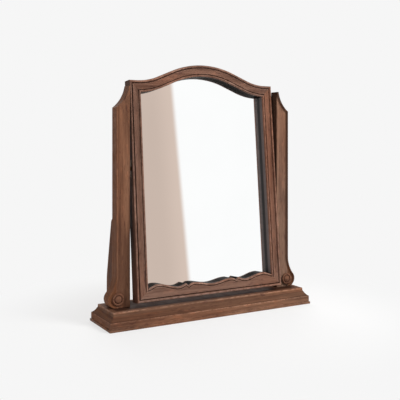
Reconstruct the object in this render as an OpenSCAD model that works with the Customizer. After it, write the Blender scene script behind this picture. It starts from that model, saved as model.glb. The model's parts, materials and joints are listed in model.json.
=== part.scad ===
// Dressing mirror: a crested frame that tilts between two uprights on a plinth base.
// +X runs to the right, +Y to the back, +Z up. The origin is the middle of the base's underside.

/* [Mirror frame] */
// Width of the tilting frame
frame_w = 654; // [600:1:900]
// Height of the frame's sides, from the bottom edge to the shoulders
side_h = 836; // [700:1:1000]
// Depth of the frame, front to back
frame_t = 46; // [44:1:60]
// Rise of the crown above the shoulders
crown_rise = 72.5; // [62:0.5:80]
// Radius of the crown's round middle
crown_r = 370; // [300:1:420]
// Slope between the crown and the hollow beside each shoulder, in degrees
crest_slope = 22.5; // [20:0.5:26]
// Level stretch at each shoulder
shoulder_flat = 32.5; // [20:0.5:40]
// How far the mirror leans back at rest, in degrees
rest_tilt = 5.2; // [0:0.1:12]

/* [Frame moulding] */
// Radius of the round bead along the outer edge
bead_r = 4.6; // [3:0.1:6]
// Width of the quirk between the outer bead and the cove
quirk_w = 4; // [2:0.1:6]
// Depth of the quirks below the front
quirk_d = 5.5; // [3:0.1:7]
// Width of the hollow cove
cove_w = 22; // [16:0.5:28]
// Depth of the hollow cove
cove_d = 3.8; // [2:0.1:4]
// Set-back of the cove's edges behind the beads
cove_back = 1.2; // [0.5:0.1:1.5]
// Width of the groove outside the inner bead
groove_w = 2.8; // [1.5:0.1:4]
// Radius of the bead round the glass opening
inner_bead_r = 4; // [3:0.1:5]

/* [Shaped bottom edge] */
// Height of the groove line at the middle, above the frame's bottom edge
wave_mid = 33; // [30:0.5:36]
// Height of the small lobe beside the notch
wave_lobe = 44.6; // [40:0.5:48]
// Height of the notch
wave_notch = 35.5; // [32:0.5:39]
// Height of the point outside the notch
wave_point = 44.5; // [40:0.5:48]
// Height of the long dip
wave_dip = 35.5; // [32:0.5:39]
// Height of the hump near the corner
wave_hump = 52.7; // [48:0.5:58]
// Height of the groove line at the corner
wave_end = 40; // [38:0.5:46]
// Distance of the small lobe from the middle
lobe_x = 86; // [70:1:92]
// Distance of the notch from the middle
notch_x = 108.5; // [100:0.5:112]
// Distance of the point from the middle
point_x = 120; // [116:0.5:128]
// Distance of the dip from the middle
dip_x = 150; // [140:1:160]
// Distance of the hump from the middle
hump_x = 239; // [220:1:245]

/* [Glass and backing] */
// Depth of the front opening, from the frame's front to the glass
glass_depth = 36; // [30:0.5:37]
// Thickness of the glass
glass_t = 4; // [3:0.5:5]
// Thickness of the backing board
backing_t = 4.5; // [3:0.5:6]
// How far the glass runs under the frame
glass_lap = 8; // [5:0.5:12]
// How far the backing board runs past the glass
backing_lap = 12; // [10:0.5:15]
// Thickness of the dark slips that line the opening
slip_t = 3; // [2:0.5:5]
// Set-back of the slips behind the inner bead
slip_back = 0.5; // [0.2:0.1:1]
// Clearance round the glass, the backing board and the slips
fit_gap = 0.2; // [0.1:0.05:0.5]

/* [Uprights] */
// Gap between the frame and each upright
side_gap = 9.5; // [8:0.5:14]
// Width of an upright, seen from the front
post_w = 55.9; // [50:0.1:70]
// Thickness of an upright at its plain field
post_t = 39.4; // [34:0.2:50]
// Height of an upright above the base
post_h = 826; // [760:1:900]
// Width of the flat top of an upright
top_flat = 6.5; // [4:0.5:12]
// Height of the scooped corner
scoop_h = 81.7; // [60:0.5:100]
// Radius of the scooped corner
scoop_r = 127; // [100:1:180]
// Width of the raised rim with its hollow slope
rim_w = 13.4; // [11:0.1:16]
// Width of the rim's flat crest
rim_flat = 4; // [2.5:0.5:5]
// Height of the rim above the field
rim_rise = 5.9; // [4:0.1:7]
// Radius of the rim's hollow slope
rim_hollow_r = 15; // [12:0.5:20]

/* [Foot scrolls] */
// Radius of the scroll at the foot of an upright
scroll_r = 32; // [29:0.5:36]
// How far the scroll's centre lies outside the upright's straight side
scroll_out = 2; // [0:0.5:5]
// Radius of the hollow above the scroll
foot_r = 120; // [90:1:160]
// Radius of the turned rosette
rosette_r = 23.5; // [20:0.5:25]
// Height of the rosette above the field
rosette_h = 10; // [8:0.5:12]
// How far the rosette's centre lies inside the scroll's centre
rosette_in = 9; // [6:0.5:11]
// Width of the groove round the rosette
rosette_gap = 3; // [2:0.5:3.5]
// Radius of the peg behind the rosette
peg_r = 5; // [3:0.5:6]
// Length of the peg behind the rosette
peg_l = 12; // [8:1:16]

/* [Rear braces] */
// Width of a brace
brace_w = 31; // [24:0.5:36]
// Distance from a brace's foot to the top board's back edge
brace_back = 3.8; // [2:0.1:10]
// Depth of a brace behind the upright, at its shoulder
brace_top = 12; // [10:0.5:20]
// Height of the brace's knee above the base
brace_knee = 104; // [80:1:130]
// Height of the brace's shoulder above the base
brace_h = 312; // [260:1:400]
// Radius of the brace's rounded shoulder
brace_r = 22; // [18:0.5:26]

/* [Pivots] */
// Height of the pivots above the base
pivot_h = 515; // [500:1:560]
// Clearance between the swinging frame and the base
swing_gap = 14.5; // [10:0.5:20]
// Radius of the pivot pin
pin_r = 5; // [4:0.5:6]
// Running clearance of the pin, on the radius
run_fit = 0.05; // [0.02:0.01:0.1]
// Reach of the pin inside the upright
pin_l = 28; // [20:0.5:35]
// Room between the pin's end and the bush's end
pin_room = 4; // [2:0.5:6]
// Wall of the bush
bush_wall = 3; // [2:0.5:4]
// Width of the bush's flange beyond its barrel
flange_w = 5; // [3:0.5:7]
// Thickness of the bush's flange
flange_t = 2; // [1.5:0.1:2.5]
// Thickness of the friction washer
washer_t = 2; // [1.5:0.1:2.5]
// Play between the friction washer and the bush's flange
washer_gap = 0.3; // [0.1:0.05:0.5]
// Width of the collar beyond the pin
collar_w = 4; // [3:0.5:6]
// Length of the pivot's plate
plate_l = 64; // [56:1:80]
// Width of the pivot's plate
plate_w = 26; // [24:1:28]
// Thickness of the pivot's plate
plate_t = 3; // [2:0.5:4]
// Distance of the plate's screws from its ends
plate_screw_in = 8; // [6:0.5:10]

/* [Base] */
// How far the base reaches beyond the uprights, on each side
base_reach = 57.6; // [52:0.1:80]
// Depth of the base, front to back
base_d = 205; // [200:1:260]
// Thickness of the bottom panel
panel_t = 9; // [6:0.5:12]
// Height of the moulding bars
bar_h = 42; // [40:0.5:50]
// Width of the moulding bars
bar_w = 40; // [32:0.5:41]
// Step from the bottom panel's edge to the plinth face
plinth_in = 4; // [2:0.5:6]
// Height of the plinth face
plinth_h = 21; // [16:0.5:22]
// Radius of the cove under the top board
base_cove_r = 9; // [7:0.5:10]
// Radius of the small bead above the plinth face
base_bead_r = 1.5; // [1:0.1:2]
// Set-back of that bead's middle behind the plinth face
bead_in = 1.7; // [1.5:0.1:2.5]
// Width of the fillet below the cove
fillet_in = 1.5; // [1:0.1:2]
// Width of the slope between the bead and the fillet
slope_w = 6.3; // [5:0.1:8]
// Set-back of the top board's lip behind the cove
lip_in = 1; // [0.5:0.1:2]
// Thickness of the top board
top_t = 14; // [12:0.5:18]
// Rounding of the top board's edge
top_round = 4; // [2:0.5:6]

/* [Fasteners] */
// Radius of the small screws' shanks
screw_r = 1.6; // [1.2:0.1:2]
// Radius of the small screws' heads
head_r = 3.4; // [3:0.1:4]
// Depth of the small screws' heads
head_h = 2; // [1.5:0.1:2.5]
// Length of the screws in the pivot plates
plate_screw_l = 20; // [14:1:26]
// Length of the screws in the backing board
backing_screw_l = 15; // [12:1:18]
// Length of the screws in the bottom panel
panel_screw_l = 26; // [20:1:34]
// Radius of the upright bolts
bolt_r = 4; // [3:0.5:5]
// Radius of the upright bolts' heads
bolt_head_r = 7; // [6:0.5:8]
// Height of the upright bolts' heads
bolt_head_h = 6; // [4:0.5:8]
// How far the bolts reach into an upright
bolt_in = 45; // [35:1:60]
// Distance of the bolts from an upright's sides
bolt_edge = 14; // [12:0.5:18]
// Clearance between a brace's bolt and the back moulding
bolt_gap = 4; // [2:0.5:8]
// Radius of the dowels
dowel_r = 4; // [3:0.5:5]
// Length of the dowels
dowel_l = 30; // [24:1:36]
// Clearance round the screws, bolts and dowels, on the radius
hole_fit = 0.05; // [0.02:0.01:0.1]

/* [Hidden] */
$fn = 64;

// Small overlap of shapes that are joined, and the reach of a cut past a face
EPS = 0.01;
CUT = 1;
// Sides of the large circles
LARGE_FN = 180;
WALNUT = [0.46, 0.33, 0.28];
DARK_WALNUT = [0.40, 0.28, 0.22];
INNER_WOOD = [0.70, 0.56, 0.40];
SLIP_GREY = [0.22, 0.22, 0.24];
BRASS = [0.78, 0.62, 0.32];
STEEL = [0.62, 0.63, 0.65];

// Heights of the base
base_h = panel_t + bar_h + top_t;
board_z = panel_t + bar_h;
cove_in = plinth_in + bead_in + slope_w + fillet_in;
lip_edge = cove_in + base_cove_r + lip_in;

// Places across the width
frame_half = frame_w / 2;
post_in = frame_half + side_gap;
post_out = post_in + post_w;
base_w = 2 * (post_out + base_reach);
post_y = post_t / 2;
inner_d = base_d - 2 * (plinth_in + bar_w);
brace_foot = base_d / 2 - lip_edge - brace_back - post_y;

// Places of the uprights
post_top = base_h + post_h;
pivot_z = base_h + pivot_h;
scroll_x = post_out + scroll_out;
scroll_z = base_h + scroll_r;
foot_x = post_out + foot_r;
foot_z = scroll_z + sqrt(pow(foot_r + scroll_r, 2) - pow(foot_x - scroll_x, 2));
foot_turn = atan2(foot_z - scroll_z, foot_x - scroll_x);
rosette_x = scroll_x - rosette_in;

// The scoop is an arc from the flat top to the straight side
scoop_a = [post_in + top_flat, post_top];
scoop_b = [post_out, post_top - scoop_h];
scoop_chord = norm(scoop_b - scoop_a);
scoop_out = [scoop_a[1] - scoop_b[1], scoop_b[0] - scoop_a[0]] / scoop_chord;
scoop_c = (scoop_a + scoop_b) / 2 + scoop_out * sqrt(pow(scoop_r, 2) - pow(scoop_chord / 2, 2));

// The rim's hollow slope is an arc that meets the field; the field's cut runs into it a little
hollow_w = rim_w - rim_flat;
rim_overlap = 0.4;

// Frame places, seen from the pivot axis with the frame upright
face_w = 2 * bead_r + quirk_w + cove_w + groove_w + 2 * inner_bead_r;
cove_n = 2 * bead_r + quirk_w;
cove_r = (pow(cove_w / 2, 2) + pow(cove_d, 2)) / (2 * cove_d);
frame_y = frame_t / 2;
frame_low = -sqrt(pow(pivot_h - swing_gap, 2) - pow(frame_y, 2));
shoulder_z = frame_low + side_h;
sight_half = frame_half - face_w;
wave_x_end = sight_half + inner_bead_r * 2;

// Crest: a round crown, a straight slope and a hollow that ends level at the shoulder
crown_z = shoulder_z + crown_rise - crown_r;
hollow_x = frame_half - shoulder_flat;
slope_foot_x = crown_rise / tan(crest_slope) + crown_r * tan(crest_slope / 2);
hollow_r = (hollow_x - slope_foot_x) / tan(crest_slope / 2);
hollow_z = shoulder_z + hollow_r;

// Steps behind the frame's face: slip, glass, backing board
slip_front = 2 * inner_bead_r + slip_back;
slip_n = face_w - slip_t;
glass_n = face_w - glass_lap;
backing_n = glass_n - backing_lap;
backing_depth = glass_depth + glass_t + fit_gap;
glass_low = wave_mid + inner_bead_r * 2 - glass_lap;
backing_low = glass_low - backing_lap;
sight_up = 2 * inner_bead_r + 1;

// Pivot pieces
bush_r = pin_r + run_fit + bush_wall;
bush_l = pin_l + pin_room;
flange_r = bush_r + flange_w;
collar_r = pin_r + collar_w;
washer_r = flange_r - 1;
collar_l = side_gap - flange_t - washer_t - washer_gap;
pivot_screw_z = plate_l / 2 - plate_screw_in;

// Bolts: two into each upright and one into its brace
bolt_places = [
    [post_in + bolt_edge, 0],
    [post_out - bolt_edge, 0],
    [post_out - brace_w / 2, inner_d / 2 - bolt_head_r - bolt_gap]
];
bolt_lift = 1;

// Blocks under the uprights reach a little way inside them
block_lap = 6;
block_w = base_w / 2 - plinth_in - bar_w - (post_in - block_lap);

// Rows of screws and dowels
panel_screw_x = [-1, 0, 1];
panel_screw_sink = 0.3;
backing_side_z = [0.1, 0.37, 0.63, 0.9];
backing_crest_a = [-18, 0, 18];
backing_low_x = [-0.6, 0, 0.6];
mitre_dowel_y = [-6, 7];
brace_dowel_z = [0.31, 0.56, 0.81];

// ---------- helpers ----------

// Points of a round stretch about c, from angle a to angle b
function arc(c, r, a, b, count) = [
    for (i = [0:count]) c + r * [cos(a + (b - a) * i / count), sin(a + (b - a) * i / count)]
];

// Fills an outline drawn in x and z from depth y0 to y1
module slab(y0, y1) {
    translate([0, y1, 0])
        rotate([90, 0, 0])
            linear_extrude(y1 - y0)
                children();
}

// Fills an outline drawn in y and z from x0 to x1
module side_slab(x0, x1) {
    translate([x0, 0, 0])
        rotate([90, 0, 90])
            linear_extrude(x1 - x0)
                children();
}

// Runs a closed section along stations drawn in x and z, as one solid
module run_section(stations, section) {
    count = len(section);
    last = len(stations) - 1;
    points = [
        for (s = stations, q = section)
            [s[0][0] + q[0] * s[1][0], q[1], s[0][1] + q[0] * s[1][1]]
    ];
    sides = [
        for (i = [0:last - 1], j = [0:count - 1])
            [
                i * count + j,
                (i + 1) * count + j,
                (i + 1) * count + (j + 1) % count,
                i * count + (j + 1) % count
            ]
    ];
    start = [for (j = [0:count - 1]) j];
    end = [for (j = [count - 1:-1:0]) last * count + j];
    polyhedron(points = points, faces = concat(sides, [start, end]), convexity = 8);
}

// A round bar along +X from x0 to x1
module bar_x(r, x0, x1) {
    translate([x0, 0, 0])
        rotate([0, 90, 0])
            cylinder(r = r, h = x1 - x0);
}

// Draws its children on the left, or mirrored on the right
module on_side(side) {
    if (side > 0) {
        mirror([1, 0, 0])
            children();
    } else {
        children();
    }
}

// Puts what is drawn about the pivot axis at its leaning rest place
module leaning() {
    translate([0, 0, pivot_z])
        rotate([-rest_tilt, 0, 0])
            children();
}

// A countersunk screw that points along -Z, its head's top at the origin
module screw(length, grow = 0) {
    translate([0, 0, -head_h])
        cylinder(r1 = screw_r + grow, r2 = head_r + grow, h = head_h);
    translate([0, 0, -length])
        cylinder(r = screw_r + grow, h = length - head_h + EPS);
}

// ---------- base ----------

// Section of a moulding bar, drawn inward from the bottom panel's edge
module bar_section() {
    inner = plinth_in + bar_w;
    plinth_top = panel_t + plinth_h;
    slope_in = plinth_in + bead_in;
    cove_low = board_z - base_cove_r;
    difference() {
        polygon(concat(
            [[plinth_in, panel_t], [plinth_in, plinth_top]],
            arc([slope_in, plinth_top + base_bead_r], base_bead_r, 270, 90, 6),
            [
                [cove_in - fillet_in, cove_low - fillet_in * 2],
                [cove_in - fillet_in, cove_low],
                [cove_in, cove_low],
                [cove_in, board_z],
                [inner, board_z],
                [inner, panel_t]
            ]
        ));
        translate([cove_in, board_z])
            circle(r = base_cove_r);
    }
}

// Plan of one mitred bar along a side of the given length
module mitre_plan(length) {
    reach = plinth_in + bar_w;
    polygon([
        [-length / 2, 0],
        [length / 2, 0],
        [length / 2 - reach, reach],
        [reach - length / 2, reach]
    ]);
}

// A mitred bar whose outer face looks along -Y, at y = 0
module moulding_bar(length) {
    intersection() {
        side_slab(-length / 2, length / 2)
            bar_section();
        linear_extrude(board_z + EPS)
            mitre_plan(length);
    }
}

module front_moulding() {
    color(WALNUT)
        difference() {
            translate([0, -base_d / 2, 0])
                moulding_bar(base_w);
            all_panel_screws(hole_fit);
        }
}

module back_moulding() {
    color(WALNUT)
        difference() {
            translate([0, base_d / 2, 0])
                rotate([0, 0, 180])
                    moulding_bar(base_w);
            all_panel_screws(hole_fit);
        }
}

module left_moulding() {
    color(WALNUT)
        translate([-base_w / 2, 0, 0])
            rotate([0, 0, -90])
                moulding_bar(base_d);
}

module right_moulding() {
    color(WALNUT)
        translate([base_w / 2, 0, 0])
            rotate([0, 0, 90])
                moulding_bar(base_d);
}

// Edge shape of the top board across a given width
module board_section(width) {
    half = width / 2;
    translate([-half, board_z])
        square([width, top_t - top_round]);
    translate([top_round - half, board_z])
        square([width - 2 * top_round, top_t]);
    for (side = [-1, 1])
        translate([side * (half - top_round), base_h - top_round])
            circle(r = top_round);
}

module top_board() {
    board_w = base_w - 2 * lip_edge;
    board_d = base_d - 2 * lip_edge;
    color(WALNUT)
        difference() {
            intersection() {
                slab(-board_d / 2, board_d / 2)
                    board_section(board_w);
                side_slab(-board_w / 2, board_w / 2)
                    board_section(board_d);
            }
            all_bolts(hole_fit);
        }
}

module bottom_panel() {
    color(WALNUT)
        difference() {
            translate([-base_w / 2, -base_d / 2, 0])
                cube([base_w, base_d, panel_t]);
            all_panel_screws(hole_fit);
        }
}

module post_block(side) {
    color(INNER_WOOD)
        difference() {
            on_side(side)
                translate([block_lap - post_in - block_w, -inner_d / 2, panel_t])
                    cube([block_w, inner_d, bar_h]);
            all_bolts(hole_fit);
        }
}

module cross_rail() {
    color(INNER_WOOD)
        translate([-bar_w / 2, -inner_d / 2, panel_t])
            cube([bar_w, inner_d, bar_h]);
}

module all_panel_screws(grow = 0) {
    row_x = base_w / 2 - plinth_in - 1.5 * bar_w;
    row_y = base_d / 2 - plinth_in - bar_w / 2;
    for (step = panel_screw_x, side = [-1, 1])
        translate([step * row_x, side * row_y, panel_screw_sink])
            mirror([0, 0, 1])
                screw(panel_screw_l, grow);
}

module panel_screws() {
    color(STEEL)
        all_panel_screws();
}

// A bolt that stands on its head inside the base, or with grow the room that it needs
module bolt(grow = 0) {
    room = grow > 0 ? CUT : 0;
    head_low = panel_t + bolt_lift;
    head_top = head_low + bolt_head_h;
    translate([0, 0, head_low - 2 * room])
        cylinder(r = bolt_head_r + room, h = bolt_head_h + 2 * room);
    translate([0, 0, head_top - EPS])
        cylinder(r = bolt_r + grow, h = base_h + bolt_in - head_top + 2 * room);
}

module all_bolts(grow = 0) {
    for (side = [-1, 1], place = bolt_places)
        translate([side * place[0], place[1], 0])
            bolt(grow);
}

module post_bolts() {
    color(STEEL)
        all_bolts();
}

// ---------- uprights ----------

// Stations down the right upright's shaped edge: a point and the way into the wood
scoop_steps = 10;
foot_steps = 8;
scroll_steps = 14;
scoop_start = atan2(scoop_a[1] - scoop_c[1], scoop_a[0] - scoop_c[0]) + 360;
scoop_end = atan2(scoop_b[1] - scoop_c[1], scoop_b[0] - scoop_c[0]) + 360;
corner_drop = scoop_c[1] - scoop_b[1]
    - sqrt(pow(scoop_r + rim_w, 2) - pow(scoop_c[0] - scoop_b[0] + rim_w, 2));
function ray(turn) = [cos(turn), sin(turn)];
function scoop_station(turn) = [scoop_c + scoop_r * ray(turn), ray(turn)];
function edge_stations(from) = concat(
    [for (i = [0:scoop_steps - 1]) scoop_station(from + (scoop_end - from) * i / scoop_steps)],
    [[scoop_b, [-1, corner_drop / rim_w]]],
    [
        for (i = [0:foot_steps])
            let (way = ray(180 + foot_turn * i / foot_steps))
                [[foot_x, foot_z] + foot_r * way, way]
    ],
    [
        for (i = [1:scroll_steps])
            let (way = ray(foot_turn - (foot_turn + 90) * i / scroll_steps))
                [[scroll_x, scroll_z] + scroll_r * way, -way]
    ]
);
function drawn_in(stations, m) = [for (s = stations) s[0] + m * s[1]];

// Face outline of the right upright
module post_outline() {
    polygon(concat(
        drawn_in(edge_stations(scoop_start), 0),
        [[post_in, base_h], [post_in, post_top]]
    ));
}

// Outline of the sunk field inside the rim, carried past the upright's other edges
module field_outline() {
    polygon(concat(
        drawn_in(edge_stations(180), rim_w - rim_overlap),
        [[scroll_x, base_h - CUT], [post_in - CUT, base_h - CUT], [post_in - CUT, post_top + CUT]]
    ));
}

// Waste that leaves the rim's hollow slope: m runs inward from the edge, y is depth
rim_chord = [hollow_w, rim_rise];
rim_lean = atan2(rim_rise, hollow_w);
rim_turn = asin(norm(rim_chord) / 2 / rim_hollow_r);
rim_hollow_c = [rim_w, -post_y] + rim_hollow_r * [
    sin(rim_lean - rim_turn),
    -cos(rim_lean - rim_turn)
];
waste_points = concat(
    [[rim_flat, -post_y - rim_rise - CUT]],
    arc(rim_hollow_c, rim_hollow_r, 90 + rim_lean + rim_turn, 90 + rim_lean - rim_turn, 4),
    [[rim_w, -post_y - rim_rise - CUT]]
);

module rim_slope() {
    run_section(edge_stations(180), turned(waste_points));
}

// The right upright; the left one is its mirror image
module upright() {
    difference() {
        slab(-post_y - rim_rise, post_y)
            post_outline();
        slab(-post_y - rim_rise - CUT, -post_y)
            field_outline();
        rim_slope();
        translate([rosette_x, -post_y, scroll_z])
            rotate([90, 0, 0])
                cylinder(r = rosette_r + rosette_gap, h = rim_rise + CUT);
        rosette_peg(hole_fit);
        translate([0, 0, pivot_z])
            bar_x(bush_r + hole_fit, post_in - CUT, post_in + bush_l + CUT / 2);
        all_bolts(hole_fit);
        all_brace_dowels(hole_fit);
    }
}

module post(side) {
    color(WALNUT)
        on_side(-side)
            upright();
}

module rosette_peg(grow = 0) {
    translate([rosette_x, -post_y - EPS, scroll_z])
        rotate([-90, 0, 0])
            cylinder(r = peg_r + grow, h = peg_l + (grow > 0 ? CUT : 0));
}

// Turned section of a rosette: a ring bead round a raised dome
module rosette_section() {
    ring_r = rosette_r * 0.17;
    dome_r = rosette_r * 0.62;
    square([rosette_r, rosette_h * 0.35]);
    translate([rosette_r - ring_r, rosette_h * 0.35])
        circle(r = ring_r);
    intersection() {
        translate([0, rosette_h - dome_r])
            circle(r = dome_r);
        square([dome_r, rosette_h]);
    }
}

module rosette(side) {
    color(WALNUT)
        on_side(-side) {
            translate([rosette_x, -post_y, scroll_z])
                rotate([90, 0, 0])
                    rotate_extrude()
                        intersection() {
                            rosette_section();
                            square(rosette_r * 2);
                        }
            rosette_peg();
        }
}

// Side view of a brace, behind the upright
module brace_outline() {
    y0 = post_y;
    foot = [y0 + brace_foot, base_h + brace_knee];
    head = [y0 + brace_top, base_h + brace_h];
    run = (head - foot) / norm(head - foot);
    shoulder = head + brace_r * [-run[1], run[0]];
    polygon([[y0, base_h], [foot[0], base_h], foot, head, [y0, shoulder[1]]]);
    intersection() {
        translate(shoulder)
            circle(r = brace_r);
        translate([y0, base_h + brace_knee])
            square([brace_foot, brace_h + brace_r]);
    }
}

module brace(side) {
    color(WALNUT)
        difference() {
            on_side(-side)
                side_slab(post_out - brace_w, post_out)
                    brace_outline();
            all_bolts(hole_fit);
            all_brace_dowels(hole_fit);
        }
}

module all_brace_dowels(grow = 0) {
    for (side = [-1, 1], step = brace_dowel_z)
        translate([side * (post_out - brace_w / 2), post_y, base_h + step * brace_h])
            rotate([90, 0, 0])
                cylinder(r = dowel_r + grow, h = brace_top * 1.5 + 2 * grow, center = true);
}

module brace_dowels() {
    color(INNER_WOOD)
        all_brace_dowels();
}

module bush(side) {
    color(BRASS)
        on_side(-side)
            translate([0, 0, pivot_z])
                difference() {
                    union() {
                        bar_x(flange_r, post_in - flange_t, post_in);
                        bar_x(bush_r, post_in - EPS, post_in + bush_l);
                    }
                    bar_x(pin_r + run_fit, post_in - flange_t - CUT, post_in + bush_l + CUT);
                }
}

// ---------- tilting frame ----------

// Section of the frame's moulding: n runs inward from the outer edge, y is depth from the front
quirk_turn = asin((quirk_d - bead_r) / bead_r);
groove_turn = asin((quirk_d - inner_bead_r) / inner_bead_r);
cove_turn = asin(cove_w / 2 / cove_r);
frame_points = concat(
    arc([bead_r, bead_r], bead_r, 180, 360 + quirk_turn, 9),
    [[cove_n, quirk_d]],
    arc(
        [cove_n + cove_w / 2, cove_back + cove_d - cove_r],
        cove_r, 90 + cove_turn, 90 - cove_turn, 6
    ),
    [[cove_n + cove_w, quirk_d]],
    arc(
        [face_w - inner_bead_r, inner_bead_r],
        inner_bead_r, 180 - groove_turn, 360, 8
    ),
    [
        [face_w, slip_front],
        [slip_n, slip_front],
        [slip_n, glass_depth],
        [glass_n, glass_depth],
        [glass_n, backing_depth],
        [backing_n, backing_depth],
        [backing_n, frame_t],
        [0, frame_t]
    ]
);
slip_points = [
    [slip_n + fit_gap, slip_front],
    [face_w, slip_front],
    [face_w, glass_depth],
    [slip_n + fit_gap, glass_depth]
];

// Front outline of a stile's mitred zone, on the left
module stile_zone() {
    inner = face_w + CUT;
    polygon([
        [-frame_half, frame_low],
        [-frame_half, shoulder_z],
        [inner - frame_half, shoulder_z - inner],
        [inner - frame_half, frame_low + inner]
    ]);
}

module stile(side) {
    color(WALNUT)
        leaning()
            on_side(side)
                difference() {
                    intersection() {
                        translate([-frame_half, -frame_y, frame_low])
                            linear_extrude(side_h)
                                polygon(frame_points);
                        slab(-frame_t, frame_t)
                            stile_zone();
                    }
                    pivot_plate(hole_fit);
                    all_plate_screws(hole_fit);
                    all_mitre_dowels(hole_fit);
                    all_backing_screws(hole_fit);
                }
}

// Stations along the crest's outer line: a point and the way inward, carried past both mitres
crown_steps = 16;
hollow_steps = 6;
function hollow_station(side, turn) = [
    [side * (hollow_x - hollow_r * sin(turn)), hollow_z - hollow_r * cos(turn)],
    [-side * sin(turn), -cos(turn)]
];
function crown_station(turn) = [
    [crown_r * sin(turn), crown_z + crown_r * cos(turn)],
    [-sin(turn), -cos(turn)]
];
crest_stations = concat(
    [[[-frame_half - face_w, shoulder_z], [0, -1]]],
    [for (i = [0:hollow_steps]) hollow_station(-1, crest_slope * i / hollow_steps)],
    [for (i = [0:crown_steps]) crown_station(crest_slope * (2 * i / crown_steps - 1))],
    [for (i = [hollow_steps:-1:0]) hollow_station(1, crest_slope * i / hollow_steps)],
    [[[frame_half + face_w, shoulder_z], [0, -1]]]
);

// Front outline of the crest's zone above its mitres
module crest_zone() {
    up = crown_rise + face_w;
    down = 2 * face_w;
    polygon([
        [-frame_half - up, shoulder_z + up],
        [down - frame_half, shoulder_z - down],
        [frame_half - down, shoulder_z - down],
        [frame_half + up, shoulder_z + up]
    ]);
}

// A section run along the crest between its mitres
module crest_run(section) {
    intersection() {
        translate([0, -frame_y, 0])
            run_section(crest_stations, section);
        slab(-frame_t, frame_t)
            crest_zone();
    }
}

module crest_rail() {
    color(WALNUT)
        leaning()
            difference() {
                crest_run(frame_points);
                all_mitre_dowels(hole_fit);
                all_backing_screws(hole_fit);
            }
}

// Height of the shaped groove line above the bottom edge, at distance x from the middle
function rise(a, b, t) = a + (b - a) * (1 - cos(180 * t)) / 2;
function wave(x) =
    x < lobe_x ? rise(wave_mid, wave_lobe, x / lobe_x) :
    x < notch_x ? wave_notch
        + (wave_lobe - wave_notch) * cos(90 * (x - lobe_x) / (notch_x - lobe_x)) :
    x < point_x ? wave_notch + (wave_point - wave_notch) * (x - notch_x) / (point_x - notch_x) :
    x < dip_x ? wave_point
        + (wave_dip - wave_point) * sin(90 * (x - point_x) / (dip_x - point_x)) :
    x < hump_x ? rise(wave_dip, wave_hump, (x - dip_x) / (hump_x - dip_x)) :
    rise(wave_hump, wave_end, min(1, (x - hump_x) / (wave_x_end - hump_x)));

// Points of the shaped line from one side to the other, its turning points included
function steps(a, b, count) = [for (i = [0:count - 1]) a + (b - a) * i / count];
function half_stations(last) = concat(
    steps(0, lobe_x, 8),
    steps(lobe_x, notch_x, 5),
    [notch_x],
    steps(point_x, dip_x, 5),
    steps(dip_x, hump_x, 9),
    steps(hump_x, last, 6),
    [last]
);
function stations(last) = let (h = half_stations(last), n = len(h)) [
    for (i = [1 - n:n - 1]) i < 0 ? -h[-i] : h[i]
];
function wave_line(last, up) = [
    for (x = stations(last)) [x, frame_low + wave(abs(x)) + up]
];
function turned(points) = [for (i = [len(points) - 1:-1:0]) points[i]];

// Area under the shaped line, between the mitres
module under_wave(last, up, low) {
    polygon(concat(
        wave_line(last, up),
        [[last, frame_low + low], [-last, frame_low + low]]
    ));
}

// Front outline of the bottom rail between its mitres, up to the given height
module rail_zone(last, top) {
    polygon([
        [-frame_half, frame_low],
        [frame_half, frame_low],
        [last, frame_low + frame_half - last],
        [last, frame_low + top],
        [-last, frame_low + top],
        [-last, frame_low + frame_half - last]
    ]);
}

// The inner bead of the shaped edge in two bands: its crest lies between its shoulders
module shaped_bead() {
    crest_back = inner_bead_r / 4;
    shoulder_back = inner_bead_r * 0.65;
    crest_in = 1.2;
    bed = quirk_d + EPS;
    slab(crest_back - frame_y, bed - frame_y)
        difference() {
            under_wave(wave_x_end, sight_up - crest_in, 0);
            under_wave(wave_x_end + CUT, groove_w / 2 + crest_in, -CUT);
        }
    slab(shoulder_back - frame_y, bed - frame_y)
        difference() {
            under_wave(wave_x_end, sight_up, 0);
            under_wave(wave_x_end + CUT, groove_w / 2, -CUT);
        }
}

module bottom_rail() {
    y0 = -frame_y;
    tall = wave_hump + sight_up + CUT;
    color(WALNUT)
        leaning()
            difference() {
                intersection() {
                    union() {
                        translate([0, y0 + bead_r, frame_low + bead_r])
                            bar_x(bead_r, -frame_half, frame_half);
                        slab(y0 + bead_r, frame_y)
                            translate([-frame_half, frame_low])
                                square([frame_w, bead_r]);
                        slab(y0 + quirk_d, y0 + slip_front)
                            under_wave(sight_half, sight_up, 0);
                        slab(y0 + quirk_d, frame_y)
                            under_wave(sight_half, sight_up - slip_t, 0);
                        for (flip = [0, 1])
                            mirror([flip, 0, 0])
                                slab(y0 + quirk_d, frame_y)
                                    translate([-frame_half, frame_low])
                                        square([face_w, face_w]);
                        slab(y0 + cove_back, y0 + quirk_d + EPS)
                            difference() {
                                under_wave(wave_x_end + quirk_d, -groove_w / 2, cove_n);
                                translate([-frame_half, frame_low])
                                    square([frame_w, cove_n]);
                            }
                        shaped_bead();
                    }
                    slab(-frame_t, frame_t)
                        rail_zone(sight_half, tall);
                }
                slab(y0 + glass_depth, frame_t)
                    translate([glass_n - frame_half, frame_low + glass_low])
                        square([frame_w - 2 * glass_n, tall]);
                slab(y0 + backing_depth, frame_t)
                    translate([backing_n - frame_half, frame_low + backing_low])
                        square([frame_w - 2 * backing_n, tall]);
                all_mitre_dowels(hole_fit);
                all_backing_screws(hole_fit);
            }
}

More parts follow.
